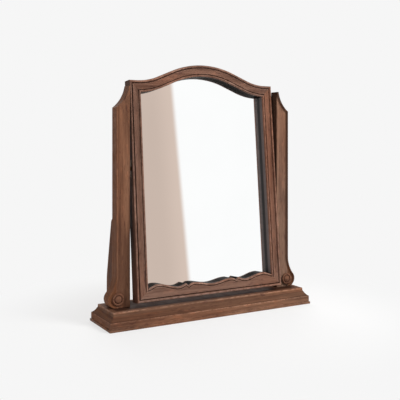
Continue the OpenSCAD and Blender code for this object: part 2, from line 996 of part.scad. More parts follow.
// Opening outline, drawn in by m from the crest and sides, with its own bottom edge
module opening(m, low) {
    half = frame_half - m;
    a = [crown_r - m, crest_slope];
    cap = [a[0] * sin(a[1]), crown_z + a[0] * cos(a[1])];
    dip = [hollow_x, hollow_z] - (hollow_r + m) * [sin(crest_slope), cos(crest_slope)];
    difference() {
        intersection() {
            union() {
                polygon([
                    [-frame_half, frame_low + low],
                    [frame_half, frame_low + low],
                    [frame_half, shoulder_z - m],
                    [hollow_x, shoulder_z - m],
                    dip,
                    cap,
                    [-cap[0], cap[1]],
                    [-dip[0], dip[1]],
                    [-hollow_x, shoulder_z - m],
                    [-frame_half, shoulder_z - m]
                ]);
                intersection() {
                    translate([0, crown_z])
                        circle(r = crown_r - m, $fn = LARGE_FN);
                    translate([-cap[0], cap[1] - EPS])
                        square([2 * cap[0], crown_r]);
                }
            }
            translate([-half, frame_low + low])
                square([2 * half, side_h + crown_rise]);
        }
        for (side = [-1, 1])
            translate([side * hollow_x, hollow_z])
                circle(r = hollow_r + m, $fn = LARGE_FN);
    }
}

module mirror_glass() {
    y0 = glass_depth - frame_y;
    color("gainsboro")
        leaning()
            slab(y0, y0 + glass_t)
                opening(glass_n + fit_gap, glass_low + fit_gap);
}

module backing_board() {
    y0 = backing_depth - frame_y;
    color(INNER_WOOD)
        leaning()
            difference() {
                slab(y0, y0 + backing_t)
                    opening(backing_n + fit_gap, backing_low + fit_gap);
                all_backing_screws(hole_fit);
            }
}

// ---------- slips ----------

module slip(side) {
    foot = wave(sight_half) + sight_up;
    color(SLIP_GREY)
        leaning()
            on_side(side)
                intersection() {
                    translate([-frame_half, -frame_y, frame_low + foot])
                        linear_extrude(side_h - foot)
                            polygon(slip_points);
                    slab(-frame_t, frame_t)
                        stile_zone();
                }
}

module crest_slip() {
    color(SLIP_GREY)
        leaning()
            crest_run(slip_points);
}

module bottom_slip() {
    color(SLIP_GREY)
        leaning()
            slab(slip_front - frame_y, glass_depth - frame_y)
                polygon(concat(
                    wave_line(sight_half, sight_up),
                    turned(wave_line(sight_half, sight_up - slip_t + fit_gap))
                ));
}

// ---------- frame fasteners and pivots ----------

module all_mitre_dowels(grow = 0) {
    middle = face_w / 2;
    corners = [
        [middle - frame_half, frame_low + middle, 45],
        [middle - frame_half, shoulder_z - middle, -45]
    ];
    for (flip = [0, 1], corner = corners, depth = mitre_dowel_y)
        mirror([flip, 0, 0])
            translate([corner[0], depth, corner[1]])
                rotate([0, corner[2] + 90, 0])
                    cylinder(r = dowel_r + grow, h = dowel_l + 2 * grow, center = true);
}

module mitre_dowels() {
    color(INNER_WOOD)
        leaning()
            all_mitre_dowels();
}

// The backing board's screws, driven from behind into the steps of the frame
module all_backing_screws(grow = 0) {
    y1 = backing_depth + backing_t - frame_y;
    edge = backing_n + backing_lap / 2;
    low = frame_low + backing_low + backing_lap / 2;
    for (flip = [0, 1], step = backing_side_z)
        mirror([flip, 0, 0])
            translate([edge - frame_half, y1, frame_low + step * side_h])
                rotate([-90, 0, 0])
                    screw(backing_screw_l, grow);
    for (turn = backing_crest_a)
        translate([(crown_r - edge) * sin(turn), y1, crown_z + (crown_r - edge) * cos(turn)])
            rotate([-90, 0, 0])
                screw(backing_screw_l, grow);
    for (step = backing_low_x)
        translate([step * frame_half, y1, low])
            rotate([-90, 0, 0])
                screw(backing_screw_l, grow);
}

module backing_screws() {
    color(STEEL)
        leaning()
            all_backing_screws();
}

// The plate that is let into the frame's left side
module pivot_plate(grow = 0) {
    translate([-frame_half - grow, -plate_w / 2 - grow, -plate_l / 2 - grow])
        cube([plate_t + grow, plate_w + 2 * grow, plate_l + 2 * grow]);
}

module pivot(side) {
    color(BRASS)
        leaning()
            on_side(side)
                difference() {
                    union() {
                        pivot_plate();
                        bar_x(collar_r, -frame_half - collar_l, -frame_half + EPS);
                        bar_x(pin_r, -post_in - pin_l, -frame_half);
                    }
                    all_plate_screws(hole_fit);
                }
}

module all_plate_screws(grow = 0) {
    for (flip = [0, 1], side = [-1, 1])
        mirror([flip, 0, 0])
            translate([-frame_half, 0, side * pivot_screw_z])
                rotate([0, -90, 0])
                    screw(plate_screw_l, grow);
}

module plate_screws() {
    color(STEEL)
        leaning()
            all_plate_screws();
}

module washer(side) {
    x0 = frame_half + collar_l;
    color(SLIP_GREY)
        leaning()
            on_side(-side)
                difference() {
                    bar_x(washer_r, x0, x0 + washer_t);
                    bar_x(pin_r + run_fit, x0 - CUT, x0 + washer_t + CUT);
                }
}

bottom_panel();
front_moulding();
back_moulding();
left_moulding();
right_moulding();
top_board();
post_block(-1);  // left_post_block
post_block(1);  // right_post_block
cross_rail();
panel_screws();
post(-1);  // left_post
post(1);  // right_post
rosette(-1);  // left_rosette
rosette(1);  // right_rosette
brace(-1);  // left_brace
brace(1);  // right_brace
post_bolts();
brace_dowels();
bush(-1);  // left_bush
bush(1);  // right_bush
stile(-1);  // left_stile
stile(1);  // right_stile
crest_rail();
bottom_rail();
mitre_dowels();
slip(-1);  // left_slip
slip(1);  // right_slip
crest_slip();
bottom_slip();
mirror_glass();
backing_board();
backing_screws();
pivot(-1);  // left_pivot
pivot(1);  // right_pivot
plate_screws();
washer(-1);  // left_washer
washer(1);  // right_washer
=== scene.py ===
import json
import math

import bmesh
import bpy
from bpy.props import FloatProperty, FloatVectorProperty, PointerProperty
from mathutils import Matrix, Vector


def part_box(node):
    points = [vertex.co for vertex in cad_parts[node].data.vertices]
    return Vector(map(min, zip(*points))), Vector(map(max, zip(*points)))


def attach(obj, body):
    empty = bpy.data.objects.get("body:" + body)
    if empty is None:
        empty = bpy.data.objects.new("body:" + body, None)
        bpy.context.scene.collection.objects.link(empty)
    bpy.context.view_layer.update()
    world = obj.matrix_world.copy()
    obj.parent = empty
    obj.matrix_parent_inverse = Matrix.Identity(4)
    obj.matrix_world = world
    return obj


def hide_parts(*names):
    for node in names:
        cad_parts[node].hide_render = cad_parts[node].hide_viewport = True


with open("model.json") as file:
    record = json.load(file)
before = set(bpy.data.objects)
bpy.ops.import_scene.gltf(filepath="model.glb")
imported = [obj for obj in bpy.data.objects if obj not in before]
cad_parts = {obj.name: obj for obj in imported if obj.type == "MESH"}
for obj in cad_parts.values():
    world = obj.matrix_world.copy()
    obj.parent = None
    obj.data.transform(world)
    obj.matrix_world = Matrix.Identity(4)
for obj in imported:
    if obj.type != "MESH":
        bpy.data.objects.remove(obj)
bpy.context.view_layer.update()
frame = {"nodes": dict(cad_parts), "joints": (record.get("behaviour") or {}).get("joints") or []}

bl_info = {
    "name": "Dressing mirror",
    "version": (1, 0, 0),
    "blender": (4, 5, 0),
    "location": "View3D > Sidebar > Mirror",
    "description": "Models a tilting dressing mirror, its wood, brass and glass, and its stage",
    "category": "Add Mesh",
}

MM = 0.001

# Small distances that several pieces share.
WELD = 0.02 * MM  # points this close become one
FRAME_EASE = 0.5 * MM  # arrises of the frame's cove and of the bottom rail's field
BACK_EASE = 0.8 * MM  # arrises of the braces, and at the back of the frame and uprights
ROSETTE_SINK = 0.6 * MM  # depth of the recess that holds a rosette
FRAME_KERF = 0.03 * MM  # what the saw takes off each end of the frame's pieces
BASE_KERF = 0.08 * MM  # what the saw takes off each end of the base's bars

# Relief marks: a half is plain wood, less is darker (waxed wood and painted shade), and more is
# lighter (wear and a painted highlight). The named marks below a half paint shade; the base bead's
# mark paints a highlight, and the frame beads' mark is wear and a painted highlight.
PLAIN = 0.5
SHADE_PAINTED = 0.3
HALF_SHADE_PAINTED = 0.38
COVE_SHADE_PAINTED = 0.39
EDGE_SHADE_PAINTED = 0.4
FAINT_SHADE_PAINTED = 0.44
BEAD_WEAR_AND_HIGHLIGHT = 0.72
HIGHLIGHT_PAINTED = 1.0


# ---------- places that come from the frame ----------

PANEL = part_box("bottom_panel")
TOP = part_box("top_board")
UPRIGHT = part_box("right_post")
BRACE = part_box("right_brace")
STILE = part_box("right_stile")
BASE_HALF = PANEL[1].x
BASE_BACK = PANEL[1].y
BASE_H = TOP[1].z
POST_IN = UPRIGHT[0].x
POST_OUT = BRACE[1].x
POST_TOP = UPRIGHT[1].z
POST_Y = UPRIGHT[1].y
FRAME_HALF = STILE[1].x
PIVOT = Vector(frame["joints"][0]["pos_m"])


def shade(red, green, blue):
    """A colour as a painter reads it off a chart, 0 to 255, in Blender's linear light."""
    return tuple(
        (c / 255 / 12.92) if c <= 10 else ((c / 255 + 0.055) / 1.055) ** 2.4
        for c in (red, green, blue)
    )


def length(name, description, default):
    """A size in metres that a user may change; the default is given in millimetres."""
    return FloatProperty(
        name=name, description=description, default=default * MM, min=0, unit="LENGTH"
    )


def angle(name, description, default):
    """An angle that a user may change; the default is given in degrees."""
    return FloatProperty(
        name=name, description=description, default=math.radians(default), subtype="ANGLE"
    )


def colour(name, description, default):
    """A colour that a user may change, in linear light."""
    return FloatVectorProperty(
        name=name, description=description, default=default, min=0, max=1, subtype="COLOR"
    )


class FrameSizes(bpy.types.PropertyGroup):
    """Sizes of the tilting frame and its moulding."""

    side_height: length("Side height", "Bottom edge to the shoulders", 836)
    depth: length("Depth", "Front to back", 46)
    crown_rise: length("Crown rise", "Crown above the shoulders", 72.5)
    crown_radius: length("Crown radius", "Round middle of the crest", 370)
    crest_slope: angle("Crest slope", "Slope between crown and hollow", 22.5)
    shoulder_flat: length("Shoulder", "Level stretch at each shoulder", 32.5)
    lean: angle("Lean", "How far the mirror leans back at rest", 5.2)
    swing_gap: length("Swing gap", "Clearance between the swinging frame and the base", 14.5)
    bead: length("Outer bead", "Radius of the outer bead", 4.6)
    quirk: length("Quirk", "Width of the quirk beside the outer bead", 4)
    quirk_depth: length("Quirk depth", "Depth of the quirks", 5.5)
    cove: length("Cove", "Width of the hollow cove", 22)
    cove_depth: length("Cove depth", "Depth of the hollow cove", 3.8)
    cove_back: length("Cove set-back", "Cove's edges behind the beads", 1.2)
    cove_end: length("Cove end", "Length over which the stiles' coves run out", 45)
    groove: length("Groove", "Width of the groove outside the inner bead", 2.8)
    inner_bead: length("Inner bead", "Radius of the bead round the glass", 4)
    slip_back: length("Slip set-back", "Slips behind the inner bead", 0.5)
    slip: length("Slip", "Thickness of the dark slips", 3)
    glass_depth: length("Glass depth", "Frame's front to the glass", 36)
    glass_lap: length("Glass lap", "Glass under the frame", 8)
    backing_lap: length("Backing lap", "Backing board past the glass", 12)
    backing_depth: length("Backing depth", "Frame's front to the backing board", 40.2)


class ShapedEdge(bpy.types.PropertyGroup):
    """Heights and places of the shaped bottom edge, from the frame's bottom edge and middle."""

    middle: length("Middle", "Height at the middle", 33)
    lobe: length("Lobe", "Height of the small lobe", 44.6)
    notch: length("Notch", "Height of the notch", 35.5)
    point: length("Point", "Height of the point outside the notch", 44.5)
    dip: length("Dip", "Height of the long dip", 35.5)
    hump: length("Hump", "Height of the hump", 52.7)
    end: length("End", "Height at the corner", 40)
    lobe_x: length("Lobe place", "Distance of the lobe from the middle", 86)
    notch_x: length("Notch place", "Distance of the notch from the middle", 108.5)
    point_x: length("Point place", "Distance of the point from the middle", 120)
    dip_x: length("Dip place", "Distance of the dip from the middle", 150)
    hump_x: length("Hump place", "Distance of the hump from the middle", 239)


class StandSizes(bpy.types.PropertyGroup):
    """Sizes of the uprights, rosettes, braces and base."""

    top_flat: length("Top flat", "Flat top of an upright", 6.5)
    scoop_height: length("Scoop height", "Height of the scooped corner", 81.7)
    scoop: length("Scoop", "Radius of the scooped corner", 127)
    rim: length("Rim", "Raised rim with its hollow slope", 13.4)
    rim_flat: length("Rim crest", "Flat crest of the rim", 4)
    rim_rise: length("Rim rise", "Rim above the field", 5.9)
    rim_hollow: length("Rim hollow", "Radius of the rim's hollow slope", 15)
    scroll: length("Scroll", "Radius of the foot's scroll", 32)
    scroll_out: length("Scroll place", "Scroll's centre outside the straight side", 2)
    foot: length("Foot hollow", "Radius of the hollow above the scroll", 120)
    rosette: length("Rosette", "Radius of the turned rosette", 23.5)
    rosette_height: length("Rosette height", "Rosette above the field", 10)
    rosette_in: length("Rosette place", "Rosette inside the scroll's centre", 9)
    rosette_gap: length("Rosette groove", "Groove round the rosette", 3)
    brace_width: length("Brace width", "Width of a rear brace", 31)
    brace_top: length("Brace top", "Depth of a brace at its shoulder", 12)
    brace_knee: length("Brace knee", "Height of the knee above the base", 104)
    brace_height: length("Brace height", "Height of the shoulder above the base", 312)
    brace_round: length("Brace round", "Radius of the brace's shoulder", 22)
    bar_width: length("Moulding width", "Width of the base's moulding bars", 40)
    plinth_in: length("Plinth set-back", "Plinth face behind the bottom panel", 4)
    plinth: length("Plinth", "Height of the plinth face", 21)
    base_cove: length("Base cove", "Radius of the hollow under the top board", 45)
    base_bead: length("Base bead", "Radius of the small bead", 1.8)
    base_bead_in: length("Base bead set-back", "Bead's middle behind the plinth", 1.7)
    top_edge: length("Top edge", "Upright part of the top board's edge", 8)
    top_flare: length("Top flare", "How far the top board's edge spreads at its foot", 2.8)
    top_round: length("Top round", "Rounding of the top board", 1.2)


class Finish(bpy.types.PropertyGroup):
    """Colours of the finishes."""

    frame_light: colour("Frame, light", "Light figure of the frame", shade(129, 97, 82))
    frame_dark: colour("Frame, dark", "Dark figure of the frame", shade(87, 61, 50))
    stand_light: colour("Stand, light", "Light figure of the stand", shade(136, 96, 75))
    stand_dark: colour("Stand, dark", "Dark figure of the stand", shade(86, 57, 45))
    # This colour darkens the hollows, as waxed wood and painted shade, and paints shade on the
    # uprights' inner sides, the stiles' outer sides and the top board's upper face.
    wax_and_shade: colour("Hollows", "Dark stain in the hollows", shade(46, 27, 20))
    inner_wood: colour("Inner wood", "Plain wood inside the base", shade(176, 140, 98))
    slip: colour("Slips", "Dark grey slips round the glass", shade(104, 92, 90))
    # Painted shade: a warm dark colour laid on the uprights' outer sides.
    side_painted_shade: colour("Sides", "Warm stain on the outer sides", shade(100, 58, 32))
    hardboard: colour("Backing", "Brown backing board", shade(118, 84, 56))
    brass: colour("Brass", "Browned brass fittings", shade(96, 74, 50))
    steel: colour("Steel", "Steel screws and bolts", shade(182, 182, 186))
    browned: colour("Plate screws", "Browned steel screws", shade(58, 46, 38))
    fibre: colour("Washers", "Dark fibre washers", shade(70, 58, 50))
    silver: colour("Mirror", "Silvered glass", shade(252, 253, 253))
    backdrop: colour("Backdrop", "Pale floor and backdrop", shade(246, 246, 246))
    card: colour("Card", "Beige that the left of the glass reflects", shade(204, 185, 173))


# ---------- drawing and shaping ----------


def only(piece):
    """Makes a piece the only selected one, and the active one."""
    bpy.ops.object.select_all(action="DESELECT")
    bpy.context.view_layer.objects.active = piece
    piece.select_set(True)


def apply_place():
    """Writes the selected piece's place, turn and scale into its mesh."""
    bpy.ops.object.transform_apply(location=True, rotation=True, scale=True)


def enter_edit(piece):
    """Opens a piece's mesh for editing."""
    only(piece)
    bpy.ops.object.mode_set(mode="EDIT")


def leave_edit():
    """Closes the mesh that is open for editing."""
    bpy.ops.object.mode_set(mode="OBJECT")


class Pen:
    """Draws an outline as vertices in edit mode, in a plane with two axes."""

    def __init__(self, name, origin, across, up, start):
        self.origin, self.across, self.up = Vector(origin), Vector(across), Vector(up)
        self.normal = self.across.cross(self.up)
        self.at = Vector(start)
        bpy.ops.object.select_all(action="DESELECT")
        bpy.ops.mesh.primitive_plane_add(size=MM, location=self.place(start))
        self.piece = bpy.context.object
        self.piece.name = self.piece.data.name = name
        apply_place()
        bpy.ops.object.mode_set(mode="EDIT")
        bpy.ops.mesh.select_mode(type="VERT")
        bpy.ops.mesh.select_all(action="SELECT")
        bpy.ops.mesh.merge(type="CENTER")

    def place(self, point):
        """A point of the drawing as a place in the scene."""
        return self.origin + self.across * point[0] + self.up * point[1]

    def line(self, *points):
        """Straight lines to each point in turn."""
        for point in points:
            move = self.place(point) - self.place(self.at)
            bpy.ops.mesh.extrude_vertices_move(TRANSFORM_OT_translate={"value": move})
            self.at = Vector(point)

    def arc(self, centre, degrees, steps):
        """A round stretch about a centre; positive turns from the first axis to the second."""
        turn = math.radians(degrees)
        bpy.ops.mesh.spin(steps=steps, angle=-turn, center=self.place(centre), axis=self.normal)
        arm = self.at - Vector(centre)
        self.at = Vector(centre) + Matrix.Rotation(turn, 2) @ arm

    def close(self, fill=True):
        """Joins the outline's ends and, if asked, fills it."""
        bpy.ops.mesh.select_all(action="SELECT")
        bpy.ops.mesh.remove_doubles(threshold=WELD)
        if fill:
            bpy.ops.mesh.edge_face_add()
        else:
            self.close_loop()
        return self.piece

    def close_loop(self):
        """Joins the outline's ends with an edge, and selects all of it to be swept."""
        mesh = bmesh.from_edit_mesh(self.piece.data)
        ends = [v for v in mesh.verts if len(v.link_edges) == 1]
        if len(ends) == 2:
            mesh.edges.new(ends)
        for v in mesh.verts:
            v.select = True
        bmesh.update_edit_mesh(self.piece.data)
        bpy.ops.mesh.select_mode(type="EDGE")
        bpy.ops.mesh.select_all(action="SELECT")


def arc_centre(start, end, radius):
    """The centre of an arc between two points that lies to the left of the way between them."""
    start, end = Vector(start), Vector(end)
    chord = end - start
    left = Vector((-chord.y, chord.x)).normalized()
    return (start + end) / 2 + left * math.sqrt(radius**2 - (chord.length / 2) ** 2)


def sweep_line(move):
    """Carries the selected outline along a straight line."""
    bpy.ops.mesh.extrude_region_move(TRANSFORM_OT_translate={"value": move})


def sweep_arc(centre, axis, degrees, steps):
    """Carries the selected outline round an arc; positive turns right-handed about the axis."""
    bpy.ops.mesh.spin(steps=steps, angle=-math.radians(degrees), center=centre, axis=axis)


def inset(thickness, depth=0.0):
    """Insets the selected faces, and raises them by a depth."""
    bpy.ops.mesh.inset(thickness=thickness, depth=depth, use_even_offset=True, use_boundary=True)


def outward():
    """Welds the piece in edit mode and turns its faces outward."""
    bpy.ops.mesh.select_all(action="SELECT")
    bpy.ops.mesh.remove_doubles(threshold=WELD)
    bpy.ops.mesh.normals_make_consistent(inside=False)


def saw(point, normal):
    """Cuts the piece in edit mode along a plane, and keeps the side behind the normal."""
    bpy.ops.mesh.select_mode(type="VERT")
    bpy.ops.mesh.select_all(action="SELECT")
    bpy.ops.mesh.bisect(
        plane_co=point, plane_no=normal, use_fill=True, clear_outer=True, threshold=0.001 * MM
    )


def pick_faces(piece, test):
    """Selects the faces whose middle and normal pass a test."""
    bpy.ops.mesh.select_mode(type="FACE")
    bpy.ops.mesh.select_all(action="DESELECT")
    mesh = bmesh.from_edit_mesh(piece.data)
    for face in mesh.faces:
        face.select = bool(test(face.calc_center_median(), face.normal))
    mesh.select_flush_mode()
    bmesh.update_edit_mesh(piece.data)


def pick_edges(piece, test):
    """Selects the edges whose two ends pass a test."""
    bpy.ops.mesh.select_mode(type="EDGE")
    bpy.ops.mesh.select_all(action="DESELECT")
    mesh = bmesh.from_edit_mesh(piece.data)
    for edge in mesh.edges:
        edge.select = bool(test(edge.verts[0].co, edge.verts[1].co))
    bmesh.update_edit_mesh(piece.data)


def box_piece(name, low, high):
    """A squared block, left in edit mode to be shaped."""
    bpy.ops.object.select_all(action="DESELECT")
    low, high = Vector(low), Vector(high)
    bpy.ops.mesh.primitive_cube_add(size=1, location=(low + high) / 2)
    piece = bpy.context.object
    piece.name = piece.data.name = name
    piece.scale = high - low
    apply_place()
    bpy.ops.object.mode_set(mode="EDIT")
    return piece


def round_cutter(name, centre, radius, depth, axis, sides):
    """A round bar about a centre, to cut a recess with."""
    bpy.ops.object.select_all(action="DESELECT")
    turn = Vector((0, 0, 1)).rotation_difference(Vector(axis)).to_euler()
    bpy.ops.mesh.primitive_cylinder_add(
        vertices=sides, radius=radius, depth=depth, location=centre, rotation=turn
    )
    piece = bpy.context.object
    piece.name = piece.data.name = name
    apply_place()
    return piece


def add_modifier(piece, kind, **settings):
    """Adds a modifier and applies it at once."""
    only(piece)
    modifier = piece.modifiers.new(kind.title(), kind)
    for name, value in settings.items():
        setattr(modifier, name, value)
    bpy.ops.object.modifier_apply(modifier=modifier.name)


def carve(piece, cutter, operation="DIFFERENCE"):
    """Cuts a piece with another, or keeps what they share, and deletes the other."""
    add_modifier(piece, "BOOLEAN", object=cutter, operation=operation, solver="EXACT")
    bpy.data.objects.remove(cutter)


def soften(piece, width, degrees=50, segments=2):
    """Takes the sharp arrises off."""
    add_modifier(
        piece, "BEVEL", width=width, segments=segments, limit_method="ANGLE",
        angle_limit=math.radians(degrees), use_clamp_overlap=True, miter_outer="MITER_ARC",
    )


def smooth(piece, degrees=32):
    """Shades a piece smooth, apart from edges that bend more than an angle."""
    only(piece)
    bpy.ops.object.shade_smooth_by_angle(angle=math.radians(degrees))


def copy_mirrored(piece, name):
    """The same piece on the other side, with its own mesh."""
    only(piece)
    bpy.ops.object.duplicate()
    twin = bpy.context.object
    twin.name = twin.data.name = name
    twin.scale.x = -1
    apply_place()
    enter_edit(twin)
    outward()
    leave_edit()
    return twin


def lean_back(piece, lean):
    """Turns a piece that was drawn upright about the pivots to its leaning rest."""
    only(piece)
    piece.location = PIVOT
    piece.rotation_euler = (-lean, 0, 0)
    apply_place()


def backward(f):
    """The leaning frame's direction from its front to its back."""
    return Vector((0, math.cos(f.lean), -math.sin(f.lean)))


def mark_relief(piece):
    """Stores how sharp a ridge or a hollow each point lies on, as its relief mark."""
    end_cap = 13  # corners: faces with as many are sawn ends, whose edges aren't counted
    full_bend = 2.4  # radians between the deepest hollow and the sharpest ridge
    mesh = bmesh.new()
    mesh.from_mesh(piece.data)
    values = []
    for vertex in mesh.verts:
        bends = [
            edge.calc_face_angle_signed(0.0)
            for edge in vertex.link_edges
            if len(edge.link_faces) == 2 and max(len(f.verts) for f in edge.link_faces) < end_cap
        ]
        bend = max(bends, key=abs, default=0.0)
        values.append(min(1.0, max(0.0, PLAIN + bend / full_bend)))
    mesh.free()
    marks = piece.data.attributes.new("relief", "FLOAT", "POINT")
    marks.data.foreach_set("value", values)


def change_marks(piece, rule):
    """Gives each point the relief mark that a rule makes of its place and its present mark."""
    for vertex, mark in zip(piece.data.vertices, piece.data.attributes["relief"].data):
        mark.value = rule(vertex.co, mark.value)


def dress(piece, finish, body, node):
    """Gives a finished wooden piece its finish and its body, and hides the node that it stands
    for.
    """
    piece.data.materials.clear()
    piece.data.materials.append(material(finish))
    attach(piece, body)
    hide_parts(node)


def finish_stand_piece(piece, finish, node, degrees=40):
    """Smooths, marks and dresses a piece of the stand."""
    smooth(piece, degrees)
    mark_relief(piece)
    dress(piece, finish, "stand", node)


# ---------- materials ----------


def new_group(name, inputs, outputs):
    """A shader node group with named inputs and outputs."""
    group = bpy.data.node_groups.new(name, "ShaderNodeTree")
    for title, kind, default in inputs:
        socket = group.interface.new_socket(title, in_out="INPUT", socket_type=kind)
        if default is not None:
            socket.default_value = default
    for title, kind in outputs:
        group.interface.new_socket(title, in_out="OUTPUT", socket_type=kind)
    return group, group.nodes.new("NodeGroupInput"), group.nodes.new("NodeGroupOutput")


def find_node(tree, kind):
    """The first node of a kind that a new tree already holds."""
    return next(node for node in tree.nodes if node.type == kind)


class Desk:
    """Short ways of laying out nodes in a tree."""

    def __init__(self, tree):
        self.tree = tree

    def node(self, kind, **settings):
        """A new node; each setting goes to the socket of that name, or else to the node."""
        node = self.tree.nodes.new("ShaderNode" + kind)
        for name, value in settings.items():
            if name in node.inputs:
                node.inputs[name].default_value = value
            else:
                setattr(node, name, value)
        return node

    def link(self, source, target):
        """Joins an output to an input."""
        self.tree.links.new(source, target)

    def feed(self, target, value):
        """Links a socket's output to the target, or sets the target to a plain value."""
        if hasattr(value, "links"):
            self.link(value, target)
        else:
            target.default_value = value

    def math(self, operation, first, second):
        """Works out one value from two."""
        node = self.node("Math", operation=operation)
        self.feed(node.inputs[0], first)
        self.feed(node.inputs[1], second)
        return node.outputs[0]

    def mix(self, fac, first, second, blend="MIX"):
        """Mixes two colours."""
        node = self.node("Mix", data_type="RGBA", blend_type=blend)
        self.feed(node.inputs[0], fac)
        self.feed(node.inputs[6], first)
        self.feed(node.inputs[7], second)
        return node.outputs[2]

    def span(self, value, low, high, to_low=0.0, to_high=1.0):
        """Maps a value smoothly from one span to another."""
        node = self.node("MapRange", interpolation_type="SMOOTHSTEP")
        self.feed(node.inputs["Value"], value)
        node.inputs["From Min"].default_value = low
        node.inputs["From Max"].default_value = high
        node.inputs["To Min"].default_value = to_low
        node.inputs["To Max"].default_value = to_high
        return node.outputs["Result"]

    def noise(self, vector, scale, detail, roughness=0.55, distortion=0.0):
        """A cloudy value in space."""
        node = self.node("TexNoise")
        self.link(vector, node.inputs["Vector"])
        node.inputs["Scale"].default_value = scale
        node.inputs["Detail"].default_value = detail
        node.inputs["Roughness"].default_value = roughness
        node.inputs["Distortion"].default_value = distortion
        return node.outputs["Fac"]

    def stretch(self, vector, scale):
        """A space scaled along its axes."""
        node = self.node("Mapping")
        self.link(vector, node.inputs["Vector"])
        node.inputs["Scale"].default_value = scale
        return node.outputs["Vector"]

    def reach(self, vector, axis):
        """How far a vector reaches along an axis."""
        node = self.node("VectorMath", operation="DOT_PRODUCT")
        self.link(vector, node.inputs[0])
        node.inputs[1].default_value = axis
        return node.outputs["Value"]

    def bump(self, shader, height, strength, distance):
        """Gives a shader a fine bump."""
        node = self.node("Bump", Strength=strength, Distance=distance)
        self.link(height, node.inputs["Height"])
        self.link(node.outputs["Normal"], shader.inputs["Normal"])

    def show(self, fac, first, second, output):
        """Blends two shaders into the tree's output."""
        blend = self.node("MixShader")
        self.link(fac, blend.inputs["Fac"])
        self.link(first.outputs[0], blend.inputs[1])
        self.link(second.outputs[0], blend.inputs[2])
        self.link(blend.outputs[0], find_node(self.tree, output).inputs["Surface"])


def make_grain_group():
    """Wood grain that runs along Z: growth bands, streaks, pores and a polisher's mottling."""
    group, inside, outside = new_group(
        "Wood grain",
        [
            ("Vector", "NodeSocketVector", None),
            ("Light", "NodeSocketColor", (0.3, 0.2, 0.1, 1)),
            ("Dark", "NodeSocketColor", (0.1, 0.05, 0.03, 1)),
        ],
        [("Color", "NodeSocketColor"), ("Height", "NodeSocketFloat")],
    )
    desk = Desk(group)
    vector = inside.outputs["Vector"]

    def lengthwise(source, squash):
        """A space whose noise is drawn out along the grain; less squash draws it out more."""
        return desk.stretch(source, (1, 1, squash))

    def patches(source, squash, scale, detail, low, high):
        """A mask of drawn-out patches."""
        return desk.span(desk.noise(lengthwise(source, squash), scale, detail), low, high)

    def toned(wood, mask, share, tone):
        """The wood, multiplied by a tone in a share of a mask."""
        tinted_wood = desk.mix(1.0, wood, (*tone, 1), "MULTIPLY")
        return desk.mix(desk.math("MULTIPLY", mask, share), wood, tinted_wood)

    drift = desk.noise(lengthwise(vector, 0.12), 9, 2)
    swirl = desk.node("MixRGB", blend_type="ADD")
    swirl.inputs["Fac"].default_value = 0.035
    desk.link(vector, swirl.inputs["Color1"])
    desk.link(drift, swirl.inputs["Color2"])
    wavy = swirl.outputs["Color"]
    bands = desk.span(desk.noise(lengthwise(wavy, 0.045), 42, 4, 0.6, 0.8), 0.36, 0.66)
    streaks = desk.noise(lengthwise(vector, 0.02), 260, 3, 0.6)
    fine = desk.span(streaks, 0.3, 0.72)
    mottle = desk.noise(lengthwise(vector, 0.35), 13, 3)
    tone = desk.math("MULTIPLY", bands, 0.5)
    tone = desk.math("ADD", tone, desk.math("MULTIPLY", fine, 0.3))
    tone = desk.math("ADD", tone, desk.math("SUBTRACT", mottle, 0.4))
    clamp = desk.node("Clamp")
    desk.link(tone, clamp.inputs["Value"])
    wood = desk.mix(clamp.outputs[0], inside.outputs["Light"], inside.outputs["Dark"])
    blush = patches(vector, 0.2, 7, 2, 0.45, 0.7)
    flames = patches(wavy, 0.3, 75, 2, 0.56, 0.7)
    knots = patches(vector, 0.22, 110, 3, 0.58, 0.7)
    pores = patches(vector, 0.035, 950, 1, 0.6, 0.74)
    wood = toned(wood, blush, 0.55, (1.22, 0.92, 0.74))
    wood = toned(wood, flames, 0.8, (1.32, 1.22, 1.16))
    wood = toned(wood, knots, 0.8, (0.62, 0.58, 0.66))
    wood = desk.mix(desk.math("MULTIPLY", pores, 0.45), wood, inside.outputs["Dark"], "MULTIPLY")
    height = desk.math("SUBTRACT", desk.math("MULTIPLY", streaks, 0.25), pores)
    desk.link(wood, outside.inputs["Color"])
    desk.link(height, outside.inputs["Height"])
    return group


